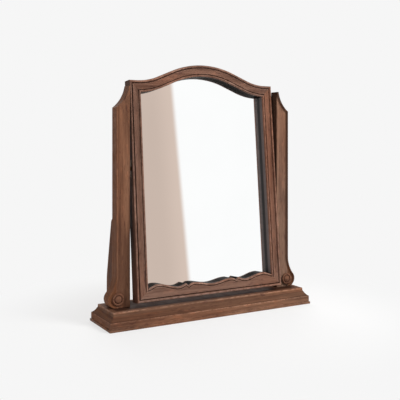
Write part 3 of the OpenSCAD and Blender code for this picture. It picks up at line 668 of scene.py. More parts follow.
def make_wear_group():
    """Darker hollows and lighter ridges, broken up by a noise: waxed wood and wear, with painted
    shade in the hollows and a painted highlight on the ridges.
    """
    group, inside, outside = new_group(
        "Hollows and ridges",
        [
            ("Vector", "NodeSocketVector", None),
            ("Relief", "NodeSocketFloat", PLAIN),
            ("Color", "NodeSocketColor", (0.2, 0.1, 0.05, 1)),
            ("Wax", "NodeSocketColor", (0.03, 0.01, 0.01, 1)),
            ("Depth", "NodeSocketFloat", 0.8),
            ("Rub", "NodeSocketFloat", 0.35),
        ],
        [("Color", "NodeSocketColor"), ("Rubbed", "NodeSocketFloat")],
    )
    desk = Desk(group)
    wear_and_highlight_tint = (2.0, 2.25, 2.45, 1)
    broken = desk.noise(inside.outputs["Vector"], 60, 4, 0.65)
    hollow = desk.span(inside.outputs["Relief"], 0.47, 0.3)
    ridge = desk.span(inside.outputs["Relief"], 0.56, 0.78)
    # The ridges, broken up by a noise, turn lighter and greyer further down: wear and a painted
    # highlight.
    ridge_wear_and_highlight = desk.math("MULTIPLY", ridge, desk.span(broken, 0.35, 0.62))
    # The hollows take the dark colour: waxed wood and painted shade.
    waxed_and_shaded = desk.math("MULTIPLY", hollow, inside.outputs["Depth"])
    base = desk.mix(waxed_and_shaded, inside.outputs["Color"], inside.outputs["Wax"])
    lighter = desk.mix(1.0, base, wear_and_highlight_tint, "MULTIPLY")
    wear_and_highlight_share = desk.math("MULTIPLY", ridge_wear_and_highlight, inside.outputs["Rub"])
    desk.link(desk.mix(wear_and_highlight_share, base, lighter), outside.inputs["Color"])
    desk.link(ridge_wear_and_highlight, outside.inputs["Rubbed"])
    return group


def darker(tone, share):
    """A tone with a share of its light."""
    return tuple(c * share for c in tone)


def tinted(pair, tint):
    """A light and a dark tone, both multiplied by a tint."""
    return [tuple(c * t for c, t in zip(tone, tint)) for tone in pair]


# Turns that bring each axis of a piece to the Z axis of the grain group.
GRAIN_TURNS = {
    "x": (0, math.radians(90), 0),
    "y": (math.radians(90), 0, 0),
    "z": (0, 0, 0),
}


def start_material(name):
    """A new material: its node desk, its shader and its object coordinates."""
    new = bpy.data.materials.new(name)
    new.use_nodes = True
    desk = Desk(new.node_tree)
    place = desk.node("TexCoord").outputs["Object"]
    return desk, find_node(new.node_tree, "BSDF_PRINCIPLED"), place


def walnut(
    name, along, light, dark, rough=0.45, wax_and_shade=0.85, rub_and_highlight=0.55, gloss=0.06, shift=(0, 0, 0),
    sides=(),
):
    """Polished walnut whose grain runs along the given axis.

    Each of its sides is an axis, the distances at which a painted shade starts and is full, the
    shade's share, and its colour.
    """
    groups = bpy.data.node_groups
    desk, shader, place = start_material(name)
    turned = desk.node("Mapping")
    desk.link(place, turned.inputs["Vector"])
    turned.inputs["Rotation"].default_value = GRAIN_TURNS[along]
    turned.inputs["Location"].default_value = shift
    grain = desk.node("Group", node_tree=groups["Wood grain"])
    desk.link(turned.outputs["Vector"], grain.inputs["Vector"])
    grain.inputs["Light"].default_value = (*light, 1)
    grain.inputs["Dark"].default_value = (*dark, 1)
    relief = desk.node("Attribute", attribute_name="relief", attribute_type="GEOMETRY")
    wear = desk.node("Group", node_tree=groups["Hollows and ridges"])
    desk.link(place, wear.inputs["Vector"])
    desk.link(relief.outputs["Fac"], wear.inputs["Relief"])
    desk.link(grain.outputs["Color"], wear.inputs["Color"])
    wear.inputs["Wax"].default_value = (*bpy.context.scene.mirror_finish.wax_and_shade, 1)
    wear.inputs["Depth"].default_value = wax_and_shade
    wear.inputs["Rub"].default_value = rub_and_highlight
    finish = wear.outputs["Color"]
    split = desk.node("SeparateXYZ")
    desk.link(place, split.inputs["Vector"])
    # Painted shade: each side darkens the finish towards that side, by its share of its colour.
    for axis, start, full, share, tint in sides:
        away = desk.math("ABSOLUTE", split.outputs[axis], 0.0)
        finish = desk.mix(desk.span(away, start, full, 0.0, share), finish, (*tint, 1))
    desk.link(finish, shader.inputs["Base Color"])
    smears = desk.span(desk.noise(place, 24, 3), 0.3, 0.7, rough - 0.06, rough + 0.08)
    polished = desk.math("MULTIPLY", wear.outputs["Rubbed"], 0.12)
    desk.link(desk.math("SUBTRACT", smears, polished), shader.inputs["Roughness"])
    desk.bump(shader, grain.outputs["Height"], 0.25, 0.12 * MM)
    shader.inputs["Specular IOR Level"].default_value = gloss


def plain_wood(name, light):
    """Unpolished wood for the blocks and dowels inside the base and the frame."""
    walnut(name, "x", light, darker(light, 0.6), rough=0.7, wax_and_shade=0.3, rub_and_highlight=0.0)


def matt_board(name, base, rough, tooth):
    """A matt stained or moulded surface with a fine tooth."""
    desk, shader, place = start_material(name)
    cloud = desk.noise(place, 14, 2)
    tone = desk.mix(desk.span(cloud, 0.3, 0.7), (*darker(base, 0.85), 1), (*base, 1))
    desk.link(tone, shader.inputs["Base Color"])
    desk.link(desk.span(cloud, 0.3, 0.7, rough - 0.08, rough + 0.08), shader.inputs["Roughness"])
    desk.bump(shader, desk.noise(place, tooth, 3), 0.3, 0.1 * MM)
    shader.inputs["Specular IOR Level"].default_value = 0.1


def satin_slip(name, base, gloss):
    """Dark satin stain on the slips, with painted shade that makes them nearly black where they
    meet the glass.
    """
    f = bpy.context.scene.frame_sizes
    desk, shader, place = start_material(name)
    back = backward(f)
    glass = PIVOT.dot(back) - f.depth / 2 + f.glass_depth
    # Painted shade: the slip darkens towards the glass, nearly black in its last 5 millimetres.
    near = desk.span(desk.reach(place, back), glass - 15 * MM, glass - 5 * MM)
    cloud = desk.span(desk.noise(place, 30, 3), 0.3, 0.7)
    tone = desk.mix(cloud, (*darker(base, 0.8), 1), (*base, 1))
    desk.link(desk.mix(near, tone, (*darker(base, 0.12), 1)), shader.inputs["Base Color"])
    desk.link(desk.span(cloud, 0.0, 1.0, 0.32, 0.42), shader.inputs["Roughness"])
    desk.bump(shader, desk.noise(desk.stretch(place, (1, 1, 0.1)), 500, 2), 0.2, 0.05 * MM)
    shader.inputs["Specular IOR Level"].default_value = gloss


def turned_metal(name, base, rough, tarnish):
    """Satin metal with fine turning marks and a little tarnish."""
    desk, shader, place = start_material(name)
    cloud = desk.noise(place, 90, 4)
    tone = desk.mix(desk.span(cloud, 0.42, 0.7), (*base, 1), (*darker(base, tarnish), 1))
    desk.link(tone, shader.inputs["Base Color"])
    desk.link(desk.span(cloud, 0.35, 0.7, rough, rough + 0.2), shader.inputs["Roughness"])
    desk.bump(shader, desk.noise(desk.stretch(place, (1, 12, 12)), 220, 3), 0.15, 0.05 * MM)
    shader.inputs["Metallic"].default_value = 1.0


def mirror_silver(name, silver):
    """Silvered glass: a clear, near-perfect reflection with faint wiping marks."""
    desk, shader, place = start_material(name)
    wipes = desk.noise(desk.stretch(place, (1, 1, 0.3)), 9, 4, 0.6, 1.2)
    desk.link(desk.span(wipes, 0.45, 0.8, 0.006, 0.03), shader.inputs["Roughness"])
    haze = desk.span(desk.noise(place, 3, 2), 0.3, 0.7)
    tone = desk.mix(haze, (*silver, 1), (*darker(silver, 0.985), 1))
    desk.link(tone, shader.inputs["Base Color"])
    shader.inputs["Metallic"].default_value = 1.0


def make_frame_walnuts(look):
    """The tilting frame's three woods; the stiles' outer sides carry painted shade."""
    pair = (look.frame_light, look.frame_dark)
    # Painted shade on the stiles' outer sides, in the hollows' dark colour.
    outer = ("X", FRAME_HALF - 1.5 * MM, FRAME_HALF - 0.2 * MM, 0.55, look.wax_and_shade)
    walnut("frame walnut upright", "z", *pair, shift=(0.2, 0.1, 0), sides=(outer,))
    # The rails' ridges lighten more: wear and painted highlights.
    walnut("frame walnut across", "x", *pair, rub_and_highlight=0.75, shift=(0.4, 0, 0))
    paler = tinted(pair, (1.12, 1.17, 1.2))
    walnut("bottom rail walnut", "x", *paler, rub_and_highlight=0.85, shift=(0.6, 0.2, 0))


def make_stand_walnuts(look):
    """The woods of the uprights, braces, rosettes and base."""
    pair = (look.stand_light, look.stand_dark)
    # Painted shade: the uprights' inner sides darken nearly fully to the hollows' dark colour, and
    # their outer sides by half to a warm dark colour.
    inner = ("X", POST_IN + 1.2 * MM, POST_IN, 0.8, look.wax_and_shade)
    outer = ("X", POST_OUT - 0.6 * MM, POST_OUT - 0.1 * MM, 0.5, look.side_painted_shade)
    # The right upright's copy is lighter and greyer than the left's and darker in its hollows:
    # painted light and shade for how each is lit.
    for side, tint, wax_and_shade, shift in (
        ("left", (0.98, 1.0, 0.97), 0.5, (0.7, 0.3, 0)),
        ("right", (1.18, 1.48, 1.66), 0.85, (0.2, 0.6, 0.4)),
    ):
        walnut(
            f"{side} upright walnut", "z", *tinted(pair, tint),
            wax_and_shade=wax_and_shade, rub_and_highlight=0.4, gloss=0.03, shift=shift, sides=(inner, outer),
        )
    walnut("brace walnut", "z", *pair, wax_and_shade=0.5, rub_and_highlight=0.4, gloss=0.03, shift=(0.5, 0.2, 0))
    walnut("rosette walnut", "x", *pair, wax_and_shade=0.12, rub_and_highlight=0.3, shift=(0.8, 0.6, 0))
    # The ends' copy is darker and more orange than the front's: painted shade for the sides that
    # face away from the light.
    front = tinted(pair, (1.0, 1.08, 1.08))
    ends = tinted(pair, (0.98, 0.88, 0.72))
    # Painted shade on the top board's upper face.
    upper = ("Z", BASE_H - 1.0 * MM, BASE_H - 0.1 * MM, 0.2, look.wax_and_shade)
    walnut("base walnut across", "x", *front, wax_and_shade=0.8, rub_and_highlight=0.7, shift=(0.3, 0.9, 0))
    walnut("base walnut deep", "y", *ends, wax_and_shade=0.8, rub_and_highlight=0.7, gloss=0.03, shift=(0.1, 0.5, 0))
    walnut(
        "top board walnut", "x", *front, rough=0.6, rub_and_highlight=0.7, shift=(0.6, 0.4, 0), sides=(upper,)
    )


def prepare_materials():
    """Makes every finish once."""
    if "Wood grain" in bpy.data.node_groups:
        return
    make_grain_group()
    make_wear_group()
    look = bpy.context.scene.mirror_finish
    make_frame_walnuts(look)
    make_stand_walnuts(look)
    plain_wood("inner wood", look.inner_wood)
    # The crest and bottom slips take a far darker copy of the side slips' grey; the two copies are
    # painted light and shade on one stain.
    satin_slip("grey slip", look.slip, 0.12)
    satin_slip("dark slip", darker(look.slip, 0.15), 0.01)
    matt_board("brown hardboard", look.hardboard, 0.7, 900)
    matt_board("dark fibre", look.fibre, 0.75, 1200)
    turned_metal("satin brass", look.brass, 0.4, 0.6)
    turned_metal("zinc steel", look.steel, 0.32, 0.8)
    turned_metal("browned steel", look.browned, 0.5, 0.7)
    mirror_silver("mirror silver", look.silver)


def material(name):
    """A finish by its name."""
    prepare_materials()
    return bpy.data.materials[name]


def coat_node(name, finish):
    """Puts a finish on a CAD node that stays as it is."""
    mesh = frame["nodes"][name].data
    mesh.materials.clear()
    mesh.materials.append(material(finish))


# ---------- base ----------


def draw_base_section(pen, s):
    """The base moulding's section: inset from the panel's edge, and height."""
    low = PANEL[1].z
    plinth_top = low + s.plinth
    bead_in = s.plinth_in + s.base_bead_in
    ease = 0.6 * MM  # the plinth's arris; its foot steps back twice as far
    pen.line(
        (s.plinth_in + 2 * ease, low), (s.plinth_in + 2 * ease, low + 2 * ease),
        (s.plinth_in, low + 2 * ease), (s.plinth_in, low + 6 * ease),
        (s.plinth_in, plinth_top - 5 * ease), (s.plinth_in, plinth_top - ease),
        (s.plinth_in + 0.4 * ease, plinth_top - 0.4 * ease), (s.plinth_in + ease, plinth_top),
        (bead_in, plinth_top),
    )
    pen.arc((bead_in, plinth_top + s.base_bead), -180, 8)
    start = Vector((bead_in + ease, plinth_top + 2 * s.base_bead))
    end = Vector((TOP[0].x - PANEL[0].x - s.top_flare, TOP[0].z))
    centre = arc_centre(start, end, s.base_cove)
    pen.line(tuple(start))
    pen.arc(centre, math.degrees((start - centre).angle_signed(end - centre)) * -1, 12)


def paint_cove_shade(bar, s):
    """Marks the base's bead with a painted highlight, and its cove with painted shade, darkest at
    its foot.
    """
    edge = 0.2 * MM
    bead = PANEL[1].z + s.plinth + edge
    foot = PANEL[1].z + s.plinth + 2 * s.base_bead
    neck = foot + 1 * MM

    def rule(place, mark):
        if place.z > neck:
            return COVE_SHADE_PAINTED
        if place.z > foot - edge:
            return SHADE_PAINTED
        return HIGHLIGHT_PAINTED if place.z > bead else mark

    change_marks(bar, rule)


def moulding(name, half, s):
    """One mitred bar of the base, drawn along X with its face towards -Y."""
    back = s.plinth_in + s.bar_width
    over = 20 * MM  # drawn this much too long at both ends, for the saw
    pen = Pen(name, (-half - over, -BASE_BACK, 0), (0, 1, 0), (0, 0, 1), (back, PANEL[1].z))
    draw_base_section(pen, s)
    pen.line((back, TOP[0].z), (back, PANEL[1].z))
    pen.close(fill=False)
    sweep_line((2 * (half + over), 0, 0))
    outward()
    saw((half - BASE_KERF, -BASE_BACK, 0), (1, 1, 0))
    saw((BASE_KERF - half, -BASE_BACK, 0), (-1, 1, 0))
    outward()
    leave_edit()
    return pen.piece


class MakeBase(bpy.types.Operator):
    """Models the bottom panel, the four mitred moulding bars and the top board"""

    bl_idname = "mirror.make_base"
    bl_label = "Base"

    def execute(self, context):
        s = context.scene.stand_sizes
        panel = box_piece("base_panel", *PANEL)
        leave_edit()
        soften(panel, 1.2 * MM, segments=3)
        finish_stand_piece(panel, "base walnut across", "bottom_panel")
        self.make_bars(s)
        self.make_top(s)
        return {"FINISHED"}

    def make_bars(self, s):
        """Models the four bars, then turns each to its side of the base."""
        end = BASE_HALF - BASE_BACK
        for name, half, middle, degrees, finish in (
            ("front", BASE_HALF, 0, 0, "base walnut across"),
            ("back", BASE_HALF, 0, 180, "base walnut across"),
            ("left", BASE_BACK, -end, -90, "base walnut deep"),
            ("right", BASE_BACK, end, 90, "base walnut deep"),
        ):
            bar = moulding(f"base_{name}_moulding", half, s)
            only(bar)
            bar.location.x = middle
            bar.rotation_euler.z = math.radians(degrees)
            apply_place()
            finish_stand_piece(bar, finish, f"{name}_moulding", 32)
            # Painted shade in the cove and a painted highlight on the bead.
            paint_cove_shade(bar, s)

    def make_top(self, s):
        """Models the top board: an upright edge that spreads at its foot, and a rounded top."""
        foot = TOP[1].z - s.top_edge
        top = box_piece("base_top_board", (TOP[0].x, TOP[0].y, foot), TOP[1])
        pick_faces(top, lambda c, n: n.z < -0.9)
        steps = 4
        before = 0.0
        for i in range(1, steps + 1):
            spread = s.top_flare * (i / steps) ** 2
            wide = (TOP[1].x + spread) / (TOP[1].x + before)
            deep = (TOP[1].y + spread) / (TOP[1].y + before)
            sweep_line((0, 0, (TOP[0].z - foot) / steps))
            bpy.ops.transform.resize(value=(wide, deep, 1), center_override=(0, 0, 0))
            before = spread
        high = TOP[1].z - 0.1 * MM
        pick_edges(top, lambda a, b: a.z > high and b.z > high)
        bpy.ops.mesh.bevel(offset=s.top_round, segments=4, profile=0.5, affect="EDGES")
        pick_faces(top, lambda c, n: n.z > 0.99)
        for margin in (2.5 * MM, 9 * MM, 14 * MM):
            inset(margin)
        outward()
        leave_edit()
        finish_stand_piece(top, "top board walnut", "top_board", 25)
        # Painted shade on the board, under the frame.
        self.paint_top_shade(top, s)

    def paint_top_shade(self, top, s):
        """Marks the board with painted shade, more towards its middle, but not its rounding."""
        rounding = TOP[1].z - 1.1 * s.top_round

        def rule(place, mark):
            inward = TOP[1].y - abs(place.y)
            if inward > 20 * MM:
                return SHADE_PAINTED
            if inward > 10 * MM:
                return FAINT_SHADE_PAINTED
            return max(mark, PLAIN) if place.z > rounding else EDGE_SHADE_PAINTED

        change_marks(top, rule)


# ---------- uprights ----------


def rosette_place(s):
    """The middle of the right rosette, on the upright's face."""
    return Vector((POST_OUT + s.scroll_out - s.rosette_in, -POST_Y, BASE_H + s.scroll))


def rim_steps(s, count=7):
    """Width and depth of each step down the rim's hollow slope, from its crest to the field."""
    wide = s.rim - s.rim_flat
    lean = math.atan2(s.rim_rise, wide)
    turn = math.asin(math.hypot(wide, s.rim_rise) / 2 / s.rim_hollow)
    points = []
    for i in range(count + 1):
        t = math.pi / 2 + lean + turn - 2 * turn * i / count
        points.append((s.rim_hollow * math.cos(t), s.rim_hollow * math.sin(t)))
    return [(b[0] - a[0], b[1] - a[1]) for a, b in zip(points, points[1:])]


def draw_upright(s):
    """The right upright's outline, carried past its top, inner side and foot."""
    over = 40 * MM  # what the block cuts off again
    last_step = 4.8  # degrees: the rim's insets shorten the scoop's last edge, so it is a long one
    end = Vector((POST_OUT, POST_TOP - s.scoop_height))
    centre = arc_centre((POST_IN + s.top_flat, POST_TOP), end, s.scoop)
    scroll = Vector((POST_OUT + s.scroll_out, BASE_H + s.scroll))
    foot_x = POST_OUT + s.foot
    foot_z = scroll.y + math.sqrt((s.foot + s.scroll) ** 2 - (foot_x - scroll.x) ** 2)
    foot_turn = math.degrees(math.atan2(foot_z - scroll.y, foot_x - scroll.x))
    scoop_turn = math.degrees(math.atan2(end.y - centre.y, end.x - centre.x)) + 180
    pen = Pen(
        "right_upright", (0, POST_Y, 0), (1, 0, 0), (0, 0, 1), (POST_IN - over, POST_TOP + over)
    )
    pen.line((centre.x - s.scoop, POST_TOP + over), (centre.x - s.scoop, centre.y))
    pen.arc(centre, scoop_turn - last_step, 22)
    pen.line(tuple(end), (POST_OUT, foot_z))
    pen.arc((foot_x, foot_z), foot_turn, 16)
    pen.arc(scroll, -foot_turn - 90, 30)
    pen.line((scroll.x, BASE_H - over), (POST_IN - over, BASE_H - over))
    return pen.close()


def shape_upright(piece, s):
    """Gives the outline its thickness, arrises, raised rim and sunk field."""
    ease = 1.3 * MM  # the rim's outer arris
    inner_ease, inner_drop = 0.4 * MM, 0.15 * MM  # its inner arris
    border = 3 * MM  # a strip of faces that keeps the shading flat beside each arris
    round_steps = 4
    thick = 2 * POST_Y + s.rim_rise - ease - BACK_EASE
    for step in (border, thick - 2 * border, border):
        sweep_line((0, -step, 0))
    outward()
    bpy.ops.transform.translate(value=(0, -BACK_EASE, 0))
    pick_faces(piece, lambda c, n: n.y > 0.9)
    inset(BACK_EASE * 0.3, BACK_EASE * 0.7)
    inset(BACK_EASE * 0.7, BACK_EASE * 0.3)
    inset(border)
    pick_faces(piece, lambda c, n: n.y < -0.9)
    for i in range(round_steps):
        a, b = (math.pi / 2 * k / round_steps for k in (i, i + 1))
        inset(ease * (math.cos(a) - math.cos(b)), ease * (math.sin(b) - math.sin(a)))
    inset(s.rim_flat - ease - inner_ease)
    inset(inner_ease, -inner_drop)
    steps = rim_steps(s)
    inset(steps[0][0], inner_drop - steps[0][1])
    for wide, deep in steps[1:]:
        inset(wide, -deep)
    inset(1.2 * MM)
    leave_edit()
    block = box_piece("kept", (POST_IN, -0.1, BASE_H), (POST_OUT + 0.1, 0.1, POST_TOP))
    leave_edit()
    carve(piece, block, "INTERSECT")


def paint_rim_shade(piece, s):
    """Marks the rim's crest and its hollow slope with painted shade, less towards the field."""
    front = -POST_Y - s.rim_rise

    def rule(place, mark):
        deep = place.y - front
        if deep < 1 * MM or 1.4 * MM < deep < 4.2 * MM:
            return SHADE_PAINTED
        return HALF_SHADE_PAINTED if 4.2 * MM < deep < 5.5 * MM else mark

    change_marks(piece, rule)


class MakeUprights(bpy.types.Operator):
    """Models the scooped uprights with their raised rims and scroll feet"""

    bl_idname = "mirror.make_uprights"
    bl_label = "Uprights"

    def execute(self, context):
        s = context.scene.stand_sizes
        right = draw_upright(s)
        shape_upright(right, s)
        cutter_long = 20 * MM
        middle = rosette_place(s) + Vector((0, ROSETTE_SINK - cutter_long / 2, 0))
        carve(right, round_cutter(
            "recess", middle, s.rosette + s.rosette_gap, cutter_long, (0, 1, 0), 96
        ))
        left = copy_mirrored(right, "left_upright")
        for piece, side in ((right, "right"), (left, "left")):
            finish_stand_piece(piece, f"{side} upright walnut", f"{side}_post", 30)
        paint_rim_shade(right, s)  # only the right rim gets this much painted shade
        return {"FINISHED"}


class MakeRosettes(bpy.types.Operator):
    """Turns the two rosettes: a ring bead round a raised dome"""

    bl_idname = "mirror.make_rosettes"
    bl_label = "Rosettes"

    def execute(self, context):
        s = context.scene.stand_sizes
        r, high = s.rosette, s.rosette_height
        ring = r * 0.17  # radius of the ring bead
        ring_high, groove_high = high * 0.35, high * 0.2
        dome_foot = r * 0.6
        dome, dome_high = dome_foot * 0.985, high * 0.4
        dome_steps = 8
        place = rosette_place(s)
        pen = Pen("right_rosette_turned", place, (1, 0, 0), (0, -1, 0), (0, -ROSETTE_SINK))
        pen.line(
            (r - 0.8 * MM, -ROSETTE_SINK), (r - 0.3 * MM, 0.5 * MM), (r - 0.8 * MM, 1.6 * MM),
            (r - 0.4 * MM, 2.2 * MM), (r, ring_high),
        )
        pen.arc((r - ring, ring_high), 180, 14)
        pen.line(
            (r - 2 * ring - 0.2 * MM, high * 0.22), (r - 2 * ring - 1.6 * MM, groove_high),
            (dome_foot, high * 0.24), (dome, dome_high),
        )
        for i in range(1, dome_steps + 1):
            t = math.pi / 2 * i / dome_steps
            pen.line((dome * math.cos(t), dome_high + (high - dome_high) * math.sin(t)))
        bpy.ops.mesh.select_all(action="SELECT")
        bpy.ops.mesh.spin(steps=72, angle=math.tau, center=place, axis=(0, 1, 0))
        outward()
        leave_edit()
        left = copy_mirrored(pen.piece, "left_rosette_turned")
        for piece, side in ((pen.piece, "right"), (left, "left")):
            finish_stand_piece(piece, "rosette walnut", f"{side}_rosette")
        return {"FINISHED"}


class MakeBraces(bpy.types.Operator):
    """Models the rear braces with their rounded shoulders and eased knees"""

    bl_idname = "mirror.make_braces"
    bl_label = "Braces"

    def execute(self, context):
        s = context.scene.stand_sizes
        knee_reach = 26 * MM  # the knee is eased over this length each way
        foot = Vector((BRACE[1].y, BASE_H + s.brace_knee))
        head = Vector((POST_Y + s.brace_top, BASE_H + s.brace_height))
        run = (head - foot).normalized()
        shoulder = head + s.brace_round * Vector((-run.y, run.x))
        pen = Pen(
            "right_rear_brace", (POST_OUT - s.brace_width, 0, 0), (0, 1, 0), (0, 0, 1),
            (POST_Y, BASE_H),
        )
        below = foot - Vector((0, knee_reach))
        bend = run.angle(Vector((0, 1)))
        radius = knee_reach / math.tan(bend / 2)
        pen.line((foot.x, BASE_H), tuple(below))
        pen.arc((foot.x - radius, below.y), math.degrees(bend), 6)
        pen.line(tuple(head))
        reach = math.acos((POST_Y - shoulder.x) / s.brace_round)
        start = math.atan2(head.y - shoulder.y, head.x - shoulder.x)
        pen.arc(shoulder, math.degrees(reach - start), 10)
        pen.line((POST_Y, BASE_H))
        right = pen.close()
        sweep_line((s.brace_width, 0, 0))
        outward()
        leave_edit()
        soften(right, BACK_EASE, 55)
        self.frame_flats(right, POST_OUT - s.brace_width / 2, head.y - knee_reach)
        left = copy_mirrored(right, "left_rear_brace")
        for piece, side in ((right, "right"), (left, "left")):
            finish_stand_piece(piece, "brace walnut", f"{side}_brace")
        return {"FINISHED"}

    def frame_flats(self, piece, middle, high):
        """Insets both sides and the back below a height, so that their arrises shade cleanly."""
        enter_edit(piece)
        for test in (
            lambda c, n: n.x > 0.999 and c.x > middle,
            lambda c, n: n.x < -0.999 and c.x < middle,
            lambda c, n: abs(n.x) < 0.01 and n.y > 0.05 and abs(n.z) < 0.3 and c.z < high,
        ):
            pick_faces(piece, test)
            inset(2 * MM)
        leave_edit()


# ---------- tilting frame ----------


def frame_places(f):
    """The frame's places, from the pivots and with the frame upright.

    They are the heights of its bottom edge, its shoulders and its crown's centre, the distance of
    the hollows' centres from the middle, and the hollows' radius.
    """
    low = -math.sqrt((PIVOT.z - BASE_H - f.swing_gap) ** 2 - (f.depth / 2) ** 2)
    shoulder = low + f.side_height
    crown = shoulder + f.crown_rise - f.crown_radius
    hollow_x = FRAME_HALF - f.shoulder_flat
    turn = f.crest_slope
    foot = f.crown_rise / math.tan(turn) + f.crown_radius * math.tan(turn / 2)
    hollow = (hollow_x - foot) / math.tan(turn / 2)
    return low, shoulder, crown, hollow_x, hollow


def face_width(f):
    """Width of the frame's face, from its outer side to the opening."""
    return 2 * f.bead + f.quirk + f.cove + f.groove + 2 * f.inner_bead


def cove_radius(f):
    """Radius of the hollow cove, from its width and depth."""
    return ((f.cove / 2) ** 2 + f.cove_depth**2) / (2 * f.cove_depth)


def past_level(radius, depth):
    """How far round a bead turns, past level, down to the bottom of its quirk."""
    return math.asin((depth - radius) / radius)


def draw_outer_bead(pen, f):
    """The frame's outer side and outer bead, down to the quirk's bottom."""
    pen.line((0, f.depth - 4 * MM), (0, f.bead))
    turn = math.degrees(past_level(f.bead, f.quirk_depth))
    pen.arc((f.bead, f.bead), 180 + turn, 16)


def draw_inner_side(pen, f, edge, glass_in):
    """The inner bead, the rebates for slip, glass and backing board, and the back."""
    turn = past_level(f.inner_bead, f.quirk_depth)
    slip_front = 2 * f.inner_bead + f.slip_back
    backing_in = glass_in - f.backing_lap
    pen.line((edge - f.inner_bead * (1 + math.cos(turn)), f.quirk_depth))
    pen.arc((edge - f.inner_bead, f.inner_bead), 180 + math.degrees(turn), 14)
    pen.line(
        (edge, slip_front), (edge - f.slip, slip_front), (edge - f.slip, f.glass_depth),
        (glass_in, f.glass_depth), (glass_in, f.backing_depth),
        (backing_in, f.backing_depth), (backing_in, f.depth),
        (backing_in - 2 * MM, f.depth), (2.8 * MM, f.depth), (BACK_EASE, f.depth),
        (0, f.depth - BACK_EASE),
    )
    pen.close(fill=False)


def draw_frame_section(pen, f):
    """The frame's section: inward from the outer edge, and back from the front."""
    face = face_width(f)
    cove_in = 2 * f.bead + f.quirk
    cove_out = cove_in + f.cove
    radius = cove_radius(f)
    turn = math.asin((f.cove / 2 - FRAME_EASE) / radius)
    centre = (cove_in + f.cove / 2, f.cove_back + f.cove_depth - radius)
    lip = centre[1] + radius * math.cos(turn)
    draw_outer_bead(pen, f)
    pen.line(
        (cove_in, f.quirk_depth), (cove_in, lip + FRAME_EASE), (cove_in + FRAME_EASE, lip),
    )
    pen.arc(centre, -2 * math.degrees(turn), 14)
    pen.line((cove_out, lip + FRAME_EASE), (cove_out, f.quirk_depth))
    draw_inner_side(pen, f, face, face - f.glass_lap)


def run_out_cove(piece, f, share):
    """Gives the cove of the selected station a share of its depth."""
    middle = 2 * f.bead + f.quirk + f.cove / 2 - FRAME_HALF
    reach = f.cove / 2 - 0.3 * MM
    bottom = f.quirk_depth - 0.1 * MM
    radius = cove_radius(f)
    mesh = bmesh.from_edit_mesh(piece.data)
    for v in mesh.verts:
        inward = v.co.x - middle
        if v.select and abs(inward) < reach and v.co.y + f.depth / 2 < bottom:
            sunk = f.cove_depth - radius + math.sqrt(radius**2 - inward**2)
            v.co.y = f.cove_back + share * sunk - f.depth / 2
    bmesh.update_edit_mesh(piece.data)


def wear_and_highlight_beads(piece, f):
    """Marks the crests of the two beads as lighter: wear and a painted highlight."""
    back = backward(f)

    def rule(place, mark):
        deep = (place - PIVOT).dot(back) + f.depth / 2
        return max(mark, BEAD_WEAR_AND_HIGHLIGHT) if deep < 1 * MM else mark

    change_marks(piece, rule)


def finish_member(piece, f, finish, node):
    """Leans a piece of the frame back, and smooths, marks and dresses it."""
    lean_back(piece, f.lean)
    smooth(piece)
    mark_relief(piece)
    wear_and_highlight_beads(piece, f)
    dress(piece, finish, "mirror", node)


class MakeStiles(bpy.types.Operator):
    """Runs the frame's moulding up both sides, mitred at both ends"""

    bl_idname = "mirror.make_stiles"
    bl_label = "Stiles"

    def execute(self, context):
        f = context.scene.frame_sizes
        left = self.run_moulding(f)
        half = Vector((3 * MM, 13.1 * MM, 32.1 * MM))  # half the recess for the pivot's plate
        centre = Vector((-FRAME_HALF, 0, 0))
        cutter = box_piece("plate_recess", centre - half, centre + half)
        leave_edit()
        carve(left, cutter)
        right = copy_mirrored(left, "right_stile_moulded")
        for piece, side in ((left, "left"), (right, "right")):
            finish_member(piece, f, "frame walnut upright", f"{side}_stile")
        return {"FINISHED"}

    def run_moulding(self, f):
        """Runs the section up from the mitre, where the cove starts flat, and saws both ends."""
        low, shoulder = frame_places(f)[:2]
        steps = 8
        pen = Pen(
            "left_stile_moulded", (-FRAME_HALF, -f.depth / 2, low), (1, 0, 0), (0, 1, 0),
            (0, f.depth - BACK_EASE),
        )
        draw_frame_section(pen, f)
        run_out_cove(pen.piece, f, 0.0)
        sweep_line((0, 0, face_width(f)))
        for i in range(1, steps + 1):
            sweep_line((0, 0, f.cove_end / steps))
            run_out_cove(pen.piece, f, (1 - math.cos(math.pi * i / steps)) / 2)
        sweep_line((0, 0, f.side_height - face_width(f) - f.cove_end))
        outward()
        saw((-FRAME_HALF, 0, low + FRAME_KERF), (1, 0, -1))
        saw((-FRAME_HALF, 0, shoulder - FRAME_KERF), (1, 0, 1))
        outward()
        leave_edit()
        return pen.piece


